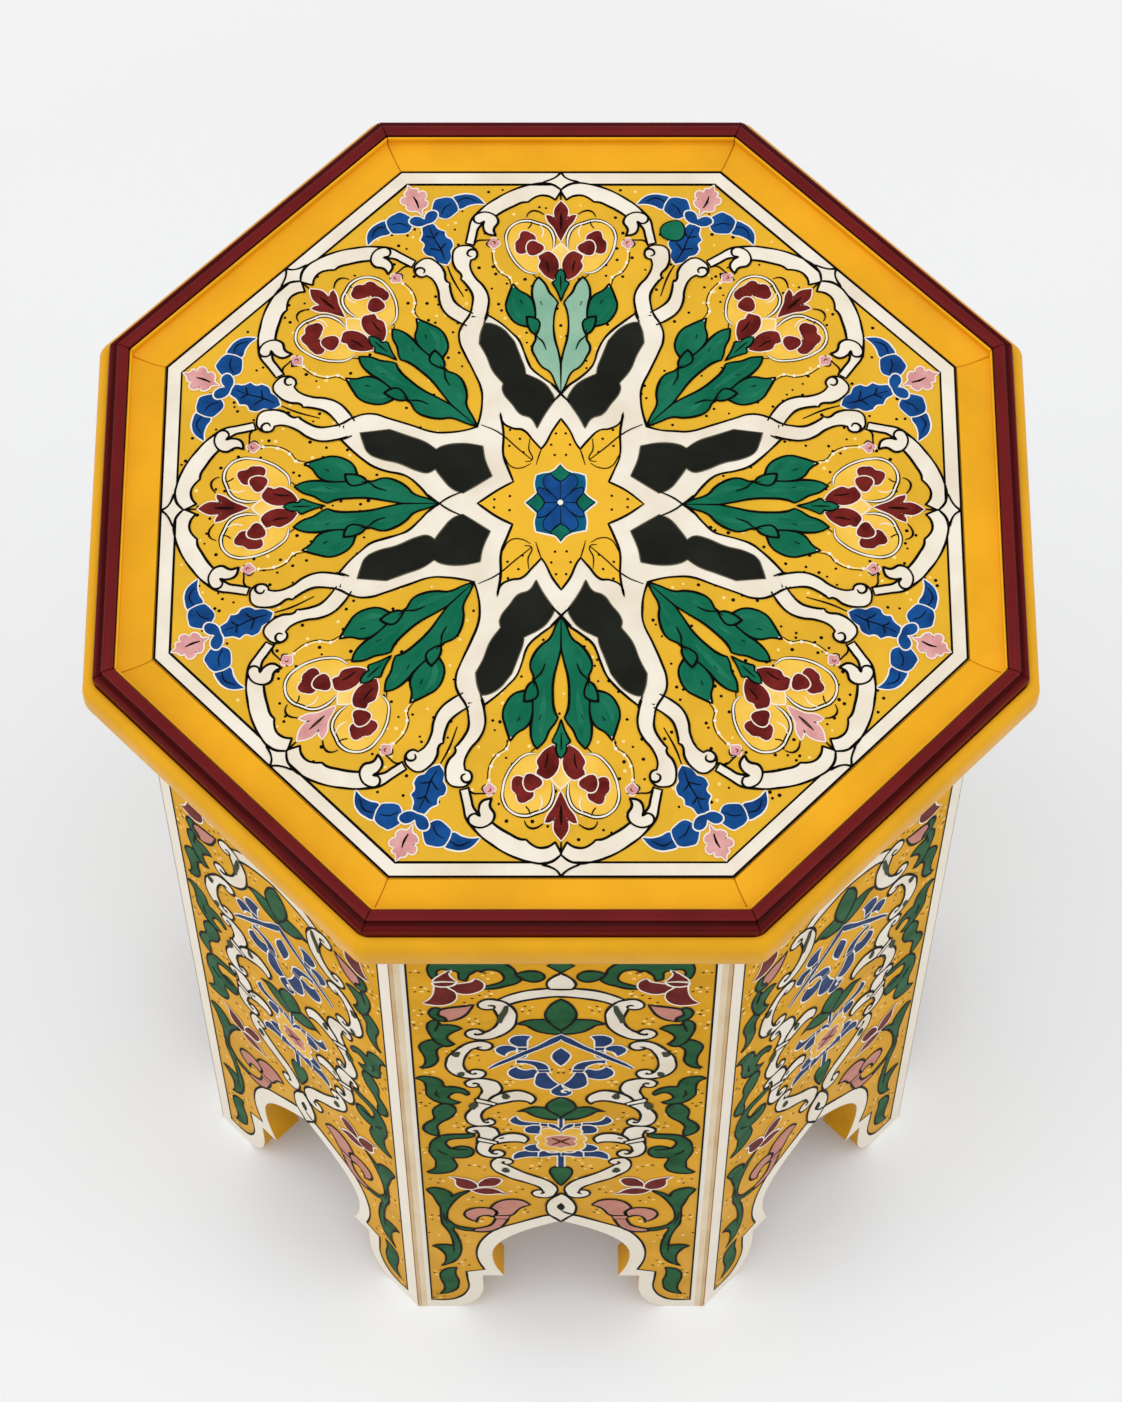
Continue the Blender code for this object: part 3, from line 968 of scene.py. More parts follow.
PETAL_VEINS = ("-6.2,130 -6.4,134 -7.4,137.6", "0,157 0.4,162 0,167", "0,119 0,124 0,128")
RING = """-3.6,145.5 -3.5,151.8 -6.4,158.2 -11.8,161 -17.3,162.5 -23.6,160 -27,154.5 -27,148 -25,141 -21,134.5
    -16.4,130.5 -11.8,129.8"""
FINIAL = "0,193.2! -2.6,190 -9.5,186.8! -4,185.8 0,182.4!"
ARCH = """0,182.4! -4,185.2 -8.5,186.8 -14,186 -21,183.6 -27.5,180 -32.5,176.6 -37,172.6 -41.4,167.6
    -44.6,163.4 -46,157 -47.7,148.5! -43.5,147.5! -42,153 -41,157.6 -37.6,161.6 -33.6,164.8 -28.6,168.8
    -23.6,171.8 -19.4,174 -16.4,174.6! -13.6,177 -10.3,178.6 -7.2,178.7 -4.8,177.6 -2.6,175.8!
    -1.4,178.6 0,181!"""
HOOK = "-41,167.5 -34.5,166.8 -31.3,162 -33.5,157 -32.5,153.3! -37,154.7 -38.7,159 -38,162! -41,161 -43.5,164"
RIBBON = """-45.5,104.5! -44,111 -44,116.4 -46.2,121 -48.6,125! -50,126.6! -49.9,128.4 -53,133.6
    -54.3,140 -52.5,145.3 -48.5,147.2 -44.3,146 -41.8,142.3 -42.8,139 -45.2,138.3! -45.6,134.5
    -42.7,127.3 -39,121.8 -36.2,115.5 -36.5,108 -38.2,102!"""
RIBBON_CURL = "-45.2,138.3 -42.8,139 -41.8,142.3 -43.3,144.6 -46,144 -46.6,141.4 -44.8,140.2"
TENDRILS = (
    "-8.4,166.4 -11.6,168.5 -14.2,168.7 -16.2,167.2 -17.2,164.8",
    "-44,146.4 -41.8,150 -37.7,150.5 -31,150.5",
    "-14,129 -10,124.5 -7.5,120 -4.6,116.5",
    "-16.4,157.6 -15,159.6 -14.4,162",
    "0,174.6 0,178 0,181",
)
RING_INNER = "-9.6,151.8 -8.7,155.6 -10.2,160"
STRAND_EDGES = ("-50.2,98.6 -48.6,102.6 -46.2,106.4 -44.3,111", "-38.7,102.6 -37.4,105.8 -36.4,109")
FLORET = (-33.6, 150.2)
FLORET_PETALS = (2.7, 4, 0.14)  # radius, petals and ripple
FLORET_SHADE = "-2.4,1.6 -3.4,-0.6 -1.8,-2.6"
FLORET_EYE = "-0.6,0.9 0.7,0.5 0.4,-0.8"
FLORET_STEM = "-33.6,143.6 -32.7,136.4 -29.5,130.5 -25.5,127.3 -24,121.8"
STEM_SHADE = (-0.9, -0.3)
STEM_BEAD = 0.9
LEAF_VEINS = ("-7.5,83 -9.5,88 -12.2,91 -13,95", "-20.6,112.8 -19.4,110.6", "-10.4,112 -9.6,109.6")
LEAF_LIGHTS = ("-9.2,121 -9.4,113 -8.4,105 -7.8,96", "-9.8,86 -8.6,80 -6.4,75 -4,69.6")
LIGHT_WIDTHS = (0.8, 3.4, 3.0, 0.8)
SIDE_LEAF_LIGHT = "-24.4,114 -23.6,108 -20.6,103 -18,100.6"
SIDE_LIGHT_WIDTHS = (0.8, 3.2, 3.0, 0.8)

# Left half of a corner spray, y towards the corner
PINK_FLOWER = """0,181! -1.4,184.6 -3.8,185.4 -5.4,188 -3.4,190! -6.2,191 -6,194.2 -3.2,194.4!
    -3.2,196.8 -1.4,197.6 0,200.6!"""
BLUE_COMMA = "-17.6,184.6 -22.8,185 -26.2,183.8 -29.4,181 -31.6,175.4! -27.8,177 -23.6,178 -18.6,177.8"
BLUE_LINK = "0,175.4! -3.4,175.4 -6.4,177.2 -7.4,180.2 -5,182 -2.4,181.4 0,178.4!"
BLUE_LEAF = "0,149! -3.4,152 -4.6,156! -7.2,158.5 -7.6,162! -5.8,164.5 -6.4,168! -4.2,170.5 -3,174 0,178!"
PINK_VEIN = "0,186 0.4,190 0,193.5"
BLUE_BALL = (-12.0, 181.0, 6.4, 5, 0.05)  # place, radius, petals and ripple
BLUE_VEIN = "0,152 0.6,158 0,166 0.4,173"
SPRAY_VEINS = (
    "-9,178 -12,181 -16,182",
    "-19,182 -24,182.5 -28,178.5",
    "0,158 -2.5,160 -4.5,161",
    "0,166 -2,168 -3.5,168.5",
)
SPRAY_STEM = "0,150 -0.6,140 0.4,128"

# One back spray has a green ball, placed from the middle of the top
GREEN_BALL = (-56.0, -157.6, 6.2, 3, 0.06)

# Dots strewn over the top: the reach of their field, the gap, their radii, and how often one is pale
DOT_FIELD = 186
DOT_GAP = 2.4
DOT_RADII = (0.6, 1.05)
PALE_EVERY = 4


def paint_border(work, once):
    work.fill("white", [octagon(BORDER_OUTER), octagon(BORDER_INNER)], once, layer=1)
    for apothem in (BORDER_OUTER - BORDER_LINE, BORDER_INNER + BORDER_LINE):
        work.line("line", octagon(apothem), once, layer=2, width=1.1, closed=True)


def paint_web(work, once):
    """The white web with its dark cells, drawn from one eighth by mirroring."""
    eighth = knots(WEB)
    quarter = eighth[:-1] + [(-y, -x, corner) for x, y, corner in reversed(eighth)][:-1]
    outline = []
    for turn in range(4):
        cos, sin = round(math.cos(turn * math.pi / 2)), round(math.sin(turn * math.pi / 2))
        outline += [(x * cos - y * sin, x * sin + y * cos, corner) for x, y, corner in quarter]
    work.shape("white", "line", outline, once, layer=2)
    for text, crossing, sides in ((CELL, WEB_CROSSING, (0, 2)), (SIDE_CELL, SIDE_CROSSING, (1, 3))):
        cell = work.freehand(knots(text))
        pairs = both([on_top(turn * math.pi / 2) for turn in sides])
        work.fill("black", [cell], pairs, layer=4)
        work.line("cell_edge", cell, pairs, layer=5, width=0.5, closed=True)
        work.line("line", knots(crossing), pairs, layer=6)


def paint_star(work, once):
    halves = both(once)
    backs = [place @ Matrix.Diagonal((1, -1, 1, 1)) for place in halves]
    work.shape("star", "line", four_fold(knots(STAR)), once, layer=4)
    for text in STAR_LINES:
        work.line("line", knots(text), halves + backs, layer=6, width=0.7)
    work.strew("line", [(x, y, STAR_DOT) for x, y, _ in knots(STAR_DOTS)], halves + backs, layer=5)
    work.shape("rosette_teal", "pale_line", four_fold(knots(ROSETTE)), once, layer=6, width=0.8)
    work.shape("rosette_green", "line", whole(knots(ROSETTE_TIP)), [halves[0], backs[0]], layer=8, width=0.45)
    work.shape("rosette_green", "line", knots(ROSETTE_SIDE_TIP), halves, layer=8, width=0.45)
    for index, text in enumerate(ROSETTE_PETALS):
        work.shape("blue", "line", knots(text), halves + backs, layer=10 + 2 * index, width=0.4)
    work.fill("pale_line", [disc(0, 0, ROSETTE_EYE)], once, layer=15)


def paint_lobes(work, spots, halves):
    """Red lobes that run together. A pale seam sets off the last one."""
    *joined, (last_x, last_y, _) = spots
    for index, (x, y, _) in enumerate(joined):
        lobe = work.freehand(disc(x, y, *LOBE))
        work.line("pale_line", lobe, halves, layer=4, width=1.0, closed=True)
        work.fill("red", [lobe], halves, layer=6 + index)
    work.shape("red", "pale_line", disc(last_x, last_y, *LOBE), halves, layer=7 + len(joined), width=0.55)


def paint_medallions(work, places):
    halves = both(places)
    medallion = dict(zip(SIDES, places))
    back = [medallion["back"]]
    rest = both(without(places, back))
    front_diagonals = [medallion["front_right"], medallion["front_left"]]
    back_diagonals = [medallion["back_right"], medallion["back_left"]]
    work.shape("white", "line", front_knots(ARCH), halves, layer=2)
    work.shape("white", "line", front_knots(HOOK), halves, layer=4)
    work.shape("white", "line", front_knots(RIBBON), halves, layer=6, closed=False)
    work.line("line", front_knots(RIBBON_CURL), halves, layer=8)
    work.shape("white", "line", whole(front_knots(FINIAL)), places, layer=5)
    work.shape("green", "line", front_knots(SIDE_LEAF), halves, layer=2)
    big_leaf = front_knots(BIG_LEAF)
    work.shape("green", "line", big_leaf, rest, layer=4)
    work.shape("sage", "line", big_leaf, both(back), layer=4)
    work.shape("green", "line", front_knots(BUD_LEAF), halves, layer=6)
    for text in LEAF_VEINS:
        work.line("line", front_knots(text), halves, layer=8, width=0.7)
    for text in LEAF_LIGHTS:
        work.line("leaf_light", front_knots(text), rest, layer=6, widths=LIGHT_WIDTHS)
    work.line("leaf_light", front_knots(SIDE_LEAF_LIGHT), halves, layer=4, widths=SIDE_LIGHT_WIDTHS)
    for text in STRAND_EDGES:
        work.line("line", knots(text), both(places[::2]), layer=8)
    ring = front_knots(RING)
    work.fill("glow", [ring], halves, layer=1)
    work.line("line", ring, halves, layer=2, width=1.7)
    work.line("pale_line", ring, halves, layer=3, width=0.85)
    work.line("pale_line", front_knots(RING_INNER), halves, layer=3, width=0.6)
    work.shape("cream", "pale_line", whole(front_knots(CREAM_BUD)), places, layer=3, width=0.8)
    work.shape("red", "pale_line", front_knots(RED_PETAL), halves, layer=5, width=0.6)
    paint_lobes(work, front_knots(VOLUTE), both(back_diagonals))
    paint_lobes(work, front_knots(TREFOIL), both(without(places, back_diagonals)))
    work.shape("green", "line", whole(front_knots(SEPAL)), places, layer=7, width=0.8)
    tulip = whole(front_knots(TULIP))
    work.shape("red", "pale_line", tulip, without(places, front_diagonals), layer=5, width=0.6)
    work.shape("pink", "pale_line", tulip, front_diagonals, layer=5, width=0.6)
    for text in TENDRILS:
        work.line("line", front_knots(text), halves, layer=3, width=0.8)
    for text in PETAL_VEINS:
        work.line("line", front_knots(text), halves, layer=10, width=0.6)
    stem = front_knots(FLORET_STEM)
    work.line("line", moved(stem, *STEM_SHADE), halves, layer=1, width=0.6)
    work.line("fleck", stem, halves, layer=2, width=0.8)
    work.strew("pale_line", [(x, y, STEM_BEAD) for x, y, _ in stem], halves, layer=3)
    work.shape("pink", "pale_line", disc(*FLORET, *FLORET_PETALS), halves, layer=3, width=0.5)
    work.line("line", moved(knots(FLORET_SHADE), *FLORET), halves, layer=5, width=0.7)
    work.line("red", moved(knots(FLORET_EYE), *FLORET), halves, layer=5, width=0.6)


def paint_sprays(work, places):
    halves = both(places)
    work.line("line", knots(SPRAY_STEM), places, layer=1)
    work.shape("blue", "pale_line", whole(knots(BLUE_LEAF)), places, layer=2, width=0.7)
    work.shape("blue", "pale_line", knots(BLUE_COMMA), halves, layer=2, width=0.7)
    work.shape("blue", "pale_line", disc(*BLUE_BALL), halves, layer=4, width=0.6)
    work.shape("blue", "pale_line", knots(BLUE_LINK), halves, layer=6, width=0.7)
    work.shape("pink", "pale_line", whole(knots(PINK_FLOWER)), places, layer=8, width=0.6)
    work.line("line", knots(PINK_VEIN), places, layer=10)
    work.line("line", knots(BLUE_VEIN), places, layer=4, width=0.6)
    for text in SPRAY_VEINS:
        work.line("line", knots(text), halves, layer=8, width=0.6)
    work.shape("green", "line", disc(*GREEN_BALL), [on_top(0)], layer=10, width=0.6)


def strew_top_dots(work, count, once):
    def pick():
        reach = DOT_FIELD * math.sqrt(work.hand.random())
        angle = work.hand.uniform(0, 2 * math.pi)
        return reach * math.cos(angle), reach * math.sin(angle)

    spots = work.scatter(count, DOT_GAP, pick, *DOT_RADII)
    work.strew("line", [spot for index, spot in enumerate(spots) if index % PALE_EVERY], once)
    work.strew("fleck", spots[::PALE_EVERY], once)


class NIGHTSTAND_OT_paint_top(bpy.types.Operator):
    """Paint the border, the web, the star, the eight medallions and the corner sprays of the top"""

    bl_idname = "nightstand.paint_top"
    bl_label = "Painted top"

    def execute(self, context):
        colours = context.scene.nightstand_colours
        paint = context.scene.nightstand_paint
        work = Paintwork(paint.step, paint.top_line, fineness=5, seed=11)
        once = [on_top(0)]
        medallions = [on_top(index * TURN) for index in range(len(SIDES))]
        corners = [on_top(index * TURN + HALF_TURN) for index in range(len(SIDES))]
        paint_border(work, once)
        paint_web(work, once)
        paint_star(work, once)
        paint_medallions(work, medallions)
        paint_sprays(work, corners)
        strew_top_dots(work, paint.top_dots, once)
        work.finish("top", settle_top, top_finishes(colours))
        return {"FINISHED"}


def top_finishes(colours):
    ochre = colours.top_ochre
    return {
        "white": enamel("top_white", colours.white, linear(231, 219, 198), blotch=30.0, rough=0.38),
        "black": enamel("top_black", colours.black, linear(33, 35, 29), blotch=35.0, rough=0.34),
        "green": enamel("top_green", colours.green, linear(26, 114, 85), blotch=45.0, rough=0.36),
        "leaf_light": enamel("top_leaf_light", linear(34, 120, 90), colours.green, blotch=60.0, rough=0.36),
        "rosette_green": enamel(
            "rosette_green", linear(16, 116, 94), linear(10, 94, 76), blotch=90.0, rough=0.34
        ),
        "rosette_teal": enamel(
            "rosette_teal", linear(12, 92, 128), linear(10, 76, 108), blotch=90.0, rough=0.34
        ),
        "sage": enamel("top_sage", colours.sage, linear(128, 176, 150), blotch=45.0, rough=0.38),
        "blue": enamel("top_blue", colours.blue, linear(15, 58, 114), blotch=80.0, rough=0.34),
        "red": enamel("top_red", colours.red, linear(86, 21, 18), blotch=90.0, rough=0.34),
        "pink": enamel("top_pink", colours.pink, linear(208, 144, 140), blotch=90.0, rough=0.38),
        "cream": enamel("top_cream", colours.cream, linear(242, 190, 70), blotch=90.0, rough=0.38),
        "glow": enamel("top_glow", linear(246, 200, 84), linear(238, 186, 60), blotch=60.0, rough=0.36),
        "star": enamel("top_star", shade(ochre, 1.06), ochre, blotch=40.0, rough=0.36),
        "cell_edge": drawn_line("top_cell_edge", linear(92, 86, 70), rough=0.42),
        "line": drawn_line("top_line", colours.line, rough=0.4),
        "pale_line": drawn_line("top_pale_line", colours.white, rough=0.42),
        "fleck": drawn_line("top_fleck", linear(250, 220, 140), rough=0.42),
    }


# The painted side panels

PANEL_SHEEN = 0.02

# How much broader a level stroke is than an upright one, and a pale edge than a line
LEVEL_STRESS = 0.7
PALE_EDGE = 1.3

FOOT_LINE = """0,157.5! -7.4,157 -15,151.7 -22.5,145.5 -35.5,134.4 -43.4,119 -47,103 -47.6,90 -46.4,78
    -43.6,65.2! -54,61.6! -53.6,49 -53,36 -54.8,25.5 -58.4,17.3 -63.8,12.2 -75,11.6!"""
EDGE_LINE = 75.0
# Painted shade on the strips beside the arris of every other panel: its finish and how far in it reaches
SHADED_STRIPS = (("shaded_strip", 77.8), ("shaded_arris", 81.0))
STRIP_MARGIN = 0.15  # bare wood between the strip and the edges of the panel
ARCH_MARGIN = 0.7 * STRIP_MARGIN
TOP_BORDER = PANEL_TOP - 8.7
READ_AXIS = 1.4  # the painted axis lies this far left of the middle of the panel that was read

# White scrolls of the left half, each drawn round from its upper curl
SCROLLS = (
    """-32,469.2 -36.8,470 -40.4,466.4 -41.4,462.8 -40.4,458.8 -37.2,456.8 -34,457.6! -32.6,452 -32,445
    -33,437 -35.6,430.8 -38.8,426.8! -40,429.2 -42.6,431.2 -45.6,430.4 -48,427 -48,422.8 -45.2,418.6
    -40.6,416.9 -36,418 -31,422.2 -26.8,428.4 -24,436.4 -23,444.4 -23,451 -24.2,458 -26.4,463.6
    -28.8,467.2""",
    """-58.6,388 -57.4,394.4 -54.4,401.6 -51.2,407.6 -48,412 -44,414.8 -40,415.2 -36.8,413.6 -35,410 -35.6,406
    -38.4,403.4 -41.4,404 -43,406! -45,404.6 -47,400.8 -48.6,395.4 -50,386.6 -49.6,380 -48.4,374.6 -47.2,372!
    -46.8,374.8 -44.4,376.6 -41.2,376 -39.2,372.8 -39.4,368.8 -41.2,365.6 -44.4,364.2 -48,364.4 -52,366.4
    -55.2,370 -57.6,375.2 -59,381.6""",
    """-46,363 -49.2,359.4 -49.4,355.2 -47.2,351.8 -44.2,351.8 -42.8,353.6! -41.4,349.6 -41.6,344.8 -42.4,340
    -44,335! -38,333.4! -36,338.4 -32.8,343.2 -31.2,348.8 -31.6,354.4 -33.6,359.2 -36.8,362.4 -41,363.8""",
    """-44,331! -46,324 -48.8,317.6 -50.2,311.2 -50,304.8 -48,299.2 -44.8,296.4 -40.4,296.2 -36.8,298
    -35.2,301.2 -36,304.8 -38.4,307.2! -40.6,304.2 -42.2,308.8 -41.6,315.2 -39.6,320.8 -36.8,324.8
    -34.4,328!""",
    """-45.6,295.2 -49.2,293 -50,289.2 -48.8,286 -46,285.2 -44.4,287.2! -43.8,283.6 -44.2,278.6! -36.8,273.6!
    -35,278.4 -33.4,283 -33.6,287.8 -35.2,292.4 -37.8,294.8 -41,295.9""",
    """-44.6,274! -45.2,268 -45.2,259.6 -43.6,254 -40.4,250 -36,248.8 -32,250.8 -30.6,254.8 -31.6,258
    -34.4,260.2 -36.6,259.6! -37.8,257.4 -38.4,262 -37.6,266 -34.6,270!""",
    """-36.8,245.2 -34.6,247.6 -31.4,247.8 -28,246 -26.6,242 -28,238.6 -30.2,238! -26.4,232.4
    -20.8,225.4 -15.2,219.8 -9.6,214 -5.2,206.8 -3.2,199.6 -3.6,194 -5.6,188.4 -9.6,185.6 -13.6,186.4
    -16.4,190 -16.4,194.8 -14,198 -11.4,197.4! -13.6,202.8 -17.6,207.6 -23.2,212.4 -28,216.4 -32,222
    -36,227.8 -38,234 -38.4,239.6""",
)
SCROLL_CURLS = (
    "-34,457.6 -33.4,460.6 -34.8,462.4 -36.6,461.8",
    "-38.8,426.8 -40.6,425 -43,424.4 -43.4,426",
    "-43,406 -42.2,407.4 -40.2,407.8",
    "-47.2,372 -45.8,370.8 -44.2,371 -44.4,372.6",
    "-42.8,353.6 -43,356.4 -44.8,357.6 -45.6,356.4",
    "-41.6,306.6 -41,302.6 -39.4,301.4 -38.6,302.8",
    "-44.4,287.2 -45.4,289.2 -46.8,289",
    "-38.2,259 -37.4,256 -35.4,254.4 -34.6,255.6",
    "-30.2,238 -32,241 -31.2,243",
    "-11.4,197.4 -10.8,194 -12.2,192",
)
SCROLL_STAINS = (
    "-27.6,462 -28.8,454 -30.4,448 -31.4,440",
    "-52,401 -53.6,397.6 -52.8,394.6",
    "-50.6,373.4 -51.4,370.6 -50.8,368",
    "-44.6,330.6 -46,326 -46.6,320.6",
    "-29.8,343.6 -29.2,339 -29.6,335.6",
    "-32.4,279 -31.6,277.8",
    "-30.6,233 -30.6,229.4 -29.6,226.4",
)
SCROLL_LEAVES = (
    """-38,333.6! -35.2,339.2 -31.2,344.4 -27.2,346.6 -22.4,347.2 -18,344 -14.8,339.2 -14.2,334.4 -16.4,328.4!
    -17.8,331 -20.8,332.8 -24.8,332.6 -29.2,330.8 -34.6,327.8!""",
    """-36.8,273.8! -35.2,278.8 -32,283.2 -27.2,285.6 -22.8,284.4 -19.6,281.2 -18.4,276.8 -20.4,270.4!
    -22.6,272.4 -26.4,273 -30.4,272 -34.4,269.8!""",
)
SCROLL_COLLARS = (
    "-45,335.4! -43.2,336.2! -34.2,329.8! -34.6,326.2! -36,326.6! -44.4,331.4!",
    "-45,278.4! -43.6,279.4! -34.4,273.4! -34.4,270! -36,269.8! -45,274.6!",
)
WHITE_ARCH = """0,484! -5.7,483.6 -10.5,482.8 -16.2,481 -22.6,477.4 -27.4,473.4 -31,469.6! -25.6,462.8!
    -21,466.6 -15.3,469.4 -9,471.8 -3,473.1 0,473.2!"""
WHITE_DROP = "0,503! -3.8,498.3 -6.6,492 -6.9,487 -5.6,483! 0,482.6"
TEARDROP = "0,193! -2.6,189.4 -5.8,183.6 -7.6,177.2 -8.2,170.2 -6.7,159.6 -3.8,153.8 0,147.4!"
TEARDROP_EYE = "0,178! -2.4,171.5 0.3,165! 2.2,171"
TEARDROP_CREASE = "0.6,165 4,161 8,158.6"

# Green leaves of the left half, from the top down
PANEL_LEAVES = (
    """-64.4,511 -64.6,503.6 -63.6,499 -62.2,494.8! -60.4,500 -60.4,505 -58,508 -54,506.5! -51.5,505.5
    -50.2,503 -50,498 -49,494.5 -46.8,493.4! -46,496 -45.4,499.5 -43.6,503 -41,506 -39,504! -37.5,506.8
    -33.5,507 -30.2,504.4 -28.6,500 -28.4,496 -30,492 -33.6,488.8 -38.5,486! -38.8,482.8! -33,483.8
    -28,486.4 -23,490 -20,495.2! -22,498.5 -22.6,502! -23.6,507 -26,512 -31,518 -42,520.5 -55,521
    -62,517""",
    "-22.6,502! -19.5,505 -14,505.8 -10.5,503.5 -9,499 -10,495 -13.5,492.3 -17.5,493.5 -20,496.5!",
    """-61,444! -65,441 -66.5,434 -66.3,427 -64.8,420 -62.5,412.5 -58,408 -54,411! -56.5,416 -57,420.5
    -55.5,425 -52.5,429 -49.6,431.5! -52,434.5 -56,436.8 -60,436.3! -61,440""",
    """-64,417.5! -68,415 -71,410 -71,404 -69.5,397 -68.9,391 -68.8,386 -69.8,382 -72,379.8! -70,379
    -66.5,380.5 -63.5,386 -62.2,391 -62.8,397 -63,401 -62,405 -59.5,408.5! -62,412 -63.5,415.5""",
    """-74,364! -71.5,366.8 -67.5,366.8 -63.5,364.5 -61.2,360 -60.6,355 -60,352! -56.5,352.3 -52,350.3
    -49,346.5 -48,342 -49,340! -51.5,343 -54.5,344 -57.5,341 -58.2,337 -56,333 -52.5,330.5! -55,327.8
    -58.5,327.5 -62.5,329.3! -65,332 -67.6,336 -69.3,342 -69.4,348 -69.6,355 -71,360.5""",
    """-62.6,328! -66.4,320.8 -66.8,313.6 -66.2,306.6 -69.6,301.6 -72,296 -72,289.6 -68,283.2 -65,281!
    -64.6,288.8 -65,294 -63,301 -58.4,307.2 -55.6,314.4 -55.2,320.5 -57,325.8 -59.5,328""",
    """-46.6,284! -46.5,280! -50,277.6 -55.5,277 -59.5,274.5 -61.3,270 -60.5,266 -58.5,262! -55.5,264.5
    -52.5,265.5 -49,263 -47,258.5 -47.5,253 -50,249 -54,248 -58.3,248.2! -57,242 -56.2,237 -57,231
    -60,226.3 -65,223.8 -70,224 -72,226.5! -69.4,229.4 -67.6,233 -67,238 -67.4,244 -68.8,251 -70,258
    -69.8,265 -69,271 -66.5,277 -64,281! -60,283 -53,283.6""",
    """-73.3,199! -70,201.6 -66,200.6 -62.5,197 -60.3,192 -60.2,187! -57,192 -52.5,196 -50.3,197.6!
    -51.5,194 -55,189 -58,182.5 -60.2,175 -62.2,166.7 -63,159.6 -62.6,150 -61,145.5! -58.7,141
    -54.6,137.3 -49.6,135.4! -50.3,131.2! -55.2,133 -59.5,137! -59.9,135 -58.7,125.5 -57.5,116
    -56.4,104.4 -56.7,95 -58.7,85.5 -61.6,78.5 -65.2,74.4 -68.1,72! -66.4,77.3 -65.5,84.4 -65.8,91.4
    -67.5,98.5 -69.9,103.8 -72.2,106! -69.3,108.1 -64.6,108.5 -60.9,106.5! -60.9,112 -62.2,125.5
    -64,135 -65.8,143.2 -66.6,151.4 -66.4,160.8 -66.6,170.2 -67.6,176.4 -68.8,182.8 -70,189.2 -72,194.8""",
    """-59.9,69! -64.6,67.3 -68.1,62 -69.3,55 -68.7,46.7 -67.3,38.5 -67.5,30.2 -70.1,22! -65.2,24.4
    -61,30.2 -59,38.5 -59,46.7 -60.1,55 -60.5,62""",
    "-44,551! -34,547 -28,538 -31,527! -37,535 -43,540",
    "-71,553! -64,558 -53,556.5 -45,550! -53,547 -62,547",
)
PANEL_LEAF_VEINS = (
    "-61,438.5 -62,433 -63,428",
    "-66,260 -64,256 -61,252.4",
    "-60,262.6 -55,260.6 -50,260",
    "-64,347 -64.6,342 -63,337",
    "-61,107 -60.6,101 -61,94",
    "-65,163 -64.6,152 -63,143",
)
CALYX = "-62,459.5 -65,455 -65,449.5 -63,445 -60.5,442.5 -57,441.3! -58,446 -60.5,449.5 -60.8,453 -59.5,457!"
GREEN_HEART = "0,204.4! -2.6,211.6 -5,219.6 -6,226 -5.4,230.8 -3.4,233.6 0,234!"
LEAF_TRIOS = (
    (
        "0,470.4! -3.8,465.2 -6.6,458 -7.6,450.8 -7,444.4 -4,436 0,429!",
        """-7.6,444.2! -10.8,443.8 -14.8,443.2 -18.9,440.8 -21.8,437.2! -17.4,436 -14.5,432.4
        -11.6,428.4 -7.5,425.6 -2.8,424.4 0,424.8! 0,430! -3,437""",
    ),
    (
        "0,337.6! -3.4,334.4 -6.6,329.6 -7.8,324 -7.4,321 -4,315 0,309!",
        """-7.6,322.4! -10.7,322.8 -14,323.2 -18,320.8 -23,316.4! -18.8,316.8 -15.6,312.8 -11.5,308 -5.9,305.2
        -1.8,304.8 0,305.6! 0,310! -4,316""",
    ),
)
HIDDEN_TRIO_RISE = 92  # the first trio stands once more this far up, behind the rim
TOP_BUD = "-6.4,512! 0,503.4! 6.4,512! 0,518"

# Blue palmettes of the left half, from the chevron down to the stalk
BLUE_SHAPES = (
    "-22.2,402.8! -18.8,402.8! -18.2,398 -19.5,393 -24,391! -23,396",
    "-16,421.6! -20,422.8 -24.4,421.2 -26.4,416.4 -25.2,411.6 -22.4,408! -18.4,408! -18.4,412.4 -18,416.8",
    """-23.6,406.4! -26.4,409.2 -29.6,409.6 -32.8,406.8 -33.4,402.8 -32,398.8 -29.2,395.4! -28.4,399
    -26.4,402 -23.8,403.4!""",
    """-24,379.8! -26.8,376 -27.7,371.2 -26,366.4 -22.4,363.2 -17.6,363.8 -13.6,367.2 -11.6,372 -13.4,375.6!
    -15.2,376.6 -19.2,375.2 -22.2,376.9""",
    """-23.2,389.5! -16,388.4 -10.2,385 -7.9,379.5 -7.5,376.9! -13.2,376.5! -13.8,379.4 -15,382.4
    -17.2,384.6 -20,385.8 -23.4,385!""",
    """-12.3,373.2! -9.1,373.2! -7.9,368 -5.9,362.4 -2.3,355.6! -4.8,351.6 -7.3,350 -10.9,351 -14,355.8
    -14.2,362.2 -13.2,369""",
    """-24.4,310! -26.4,307.2 -27.2,303.2 -25.6,299.2 -21.6,296.6 -16,297.2 -12.6,297.7! -12.6,300.2!
    -16.8,300.8 -20.8,302.4 -23.2,305.6""",
    "-12.2,296.2! -16,296.3 -18.8,294 -20.1,289.8 -18.6,286 -14.6,284.8 -11.6,285.2! -12.2,290",
    "-8,299.4! -5.2,298.4 -3.2,295.2 -1.6,290.4! -2,286 -4.4,291.6 -7.4,295.6!",
    "-20.8,258 -24.8,254.8 -26.2,250.8 -25.8,246! -22,248.4 -17.6,250 -13.8,249.6! -13.4,256.4! -17,257.6",
    "-11.8,267.8! -15.2,268.6 -18.8,266 -20.3,262.4 -17.6,258.8 -12.8,258.4! -11.6,262",
    "-12.6,256.4! -10.4,258.6 -8.4,256.4 -4,255.6 -1.6,257.4! -1.6,251.6! -4,252.2 -8.8,250.2 -12.8,249.4!",
)
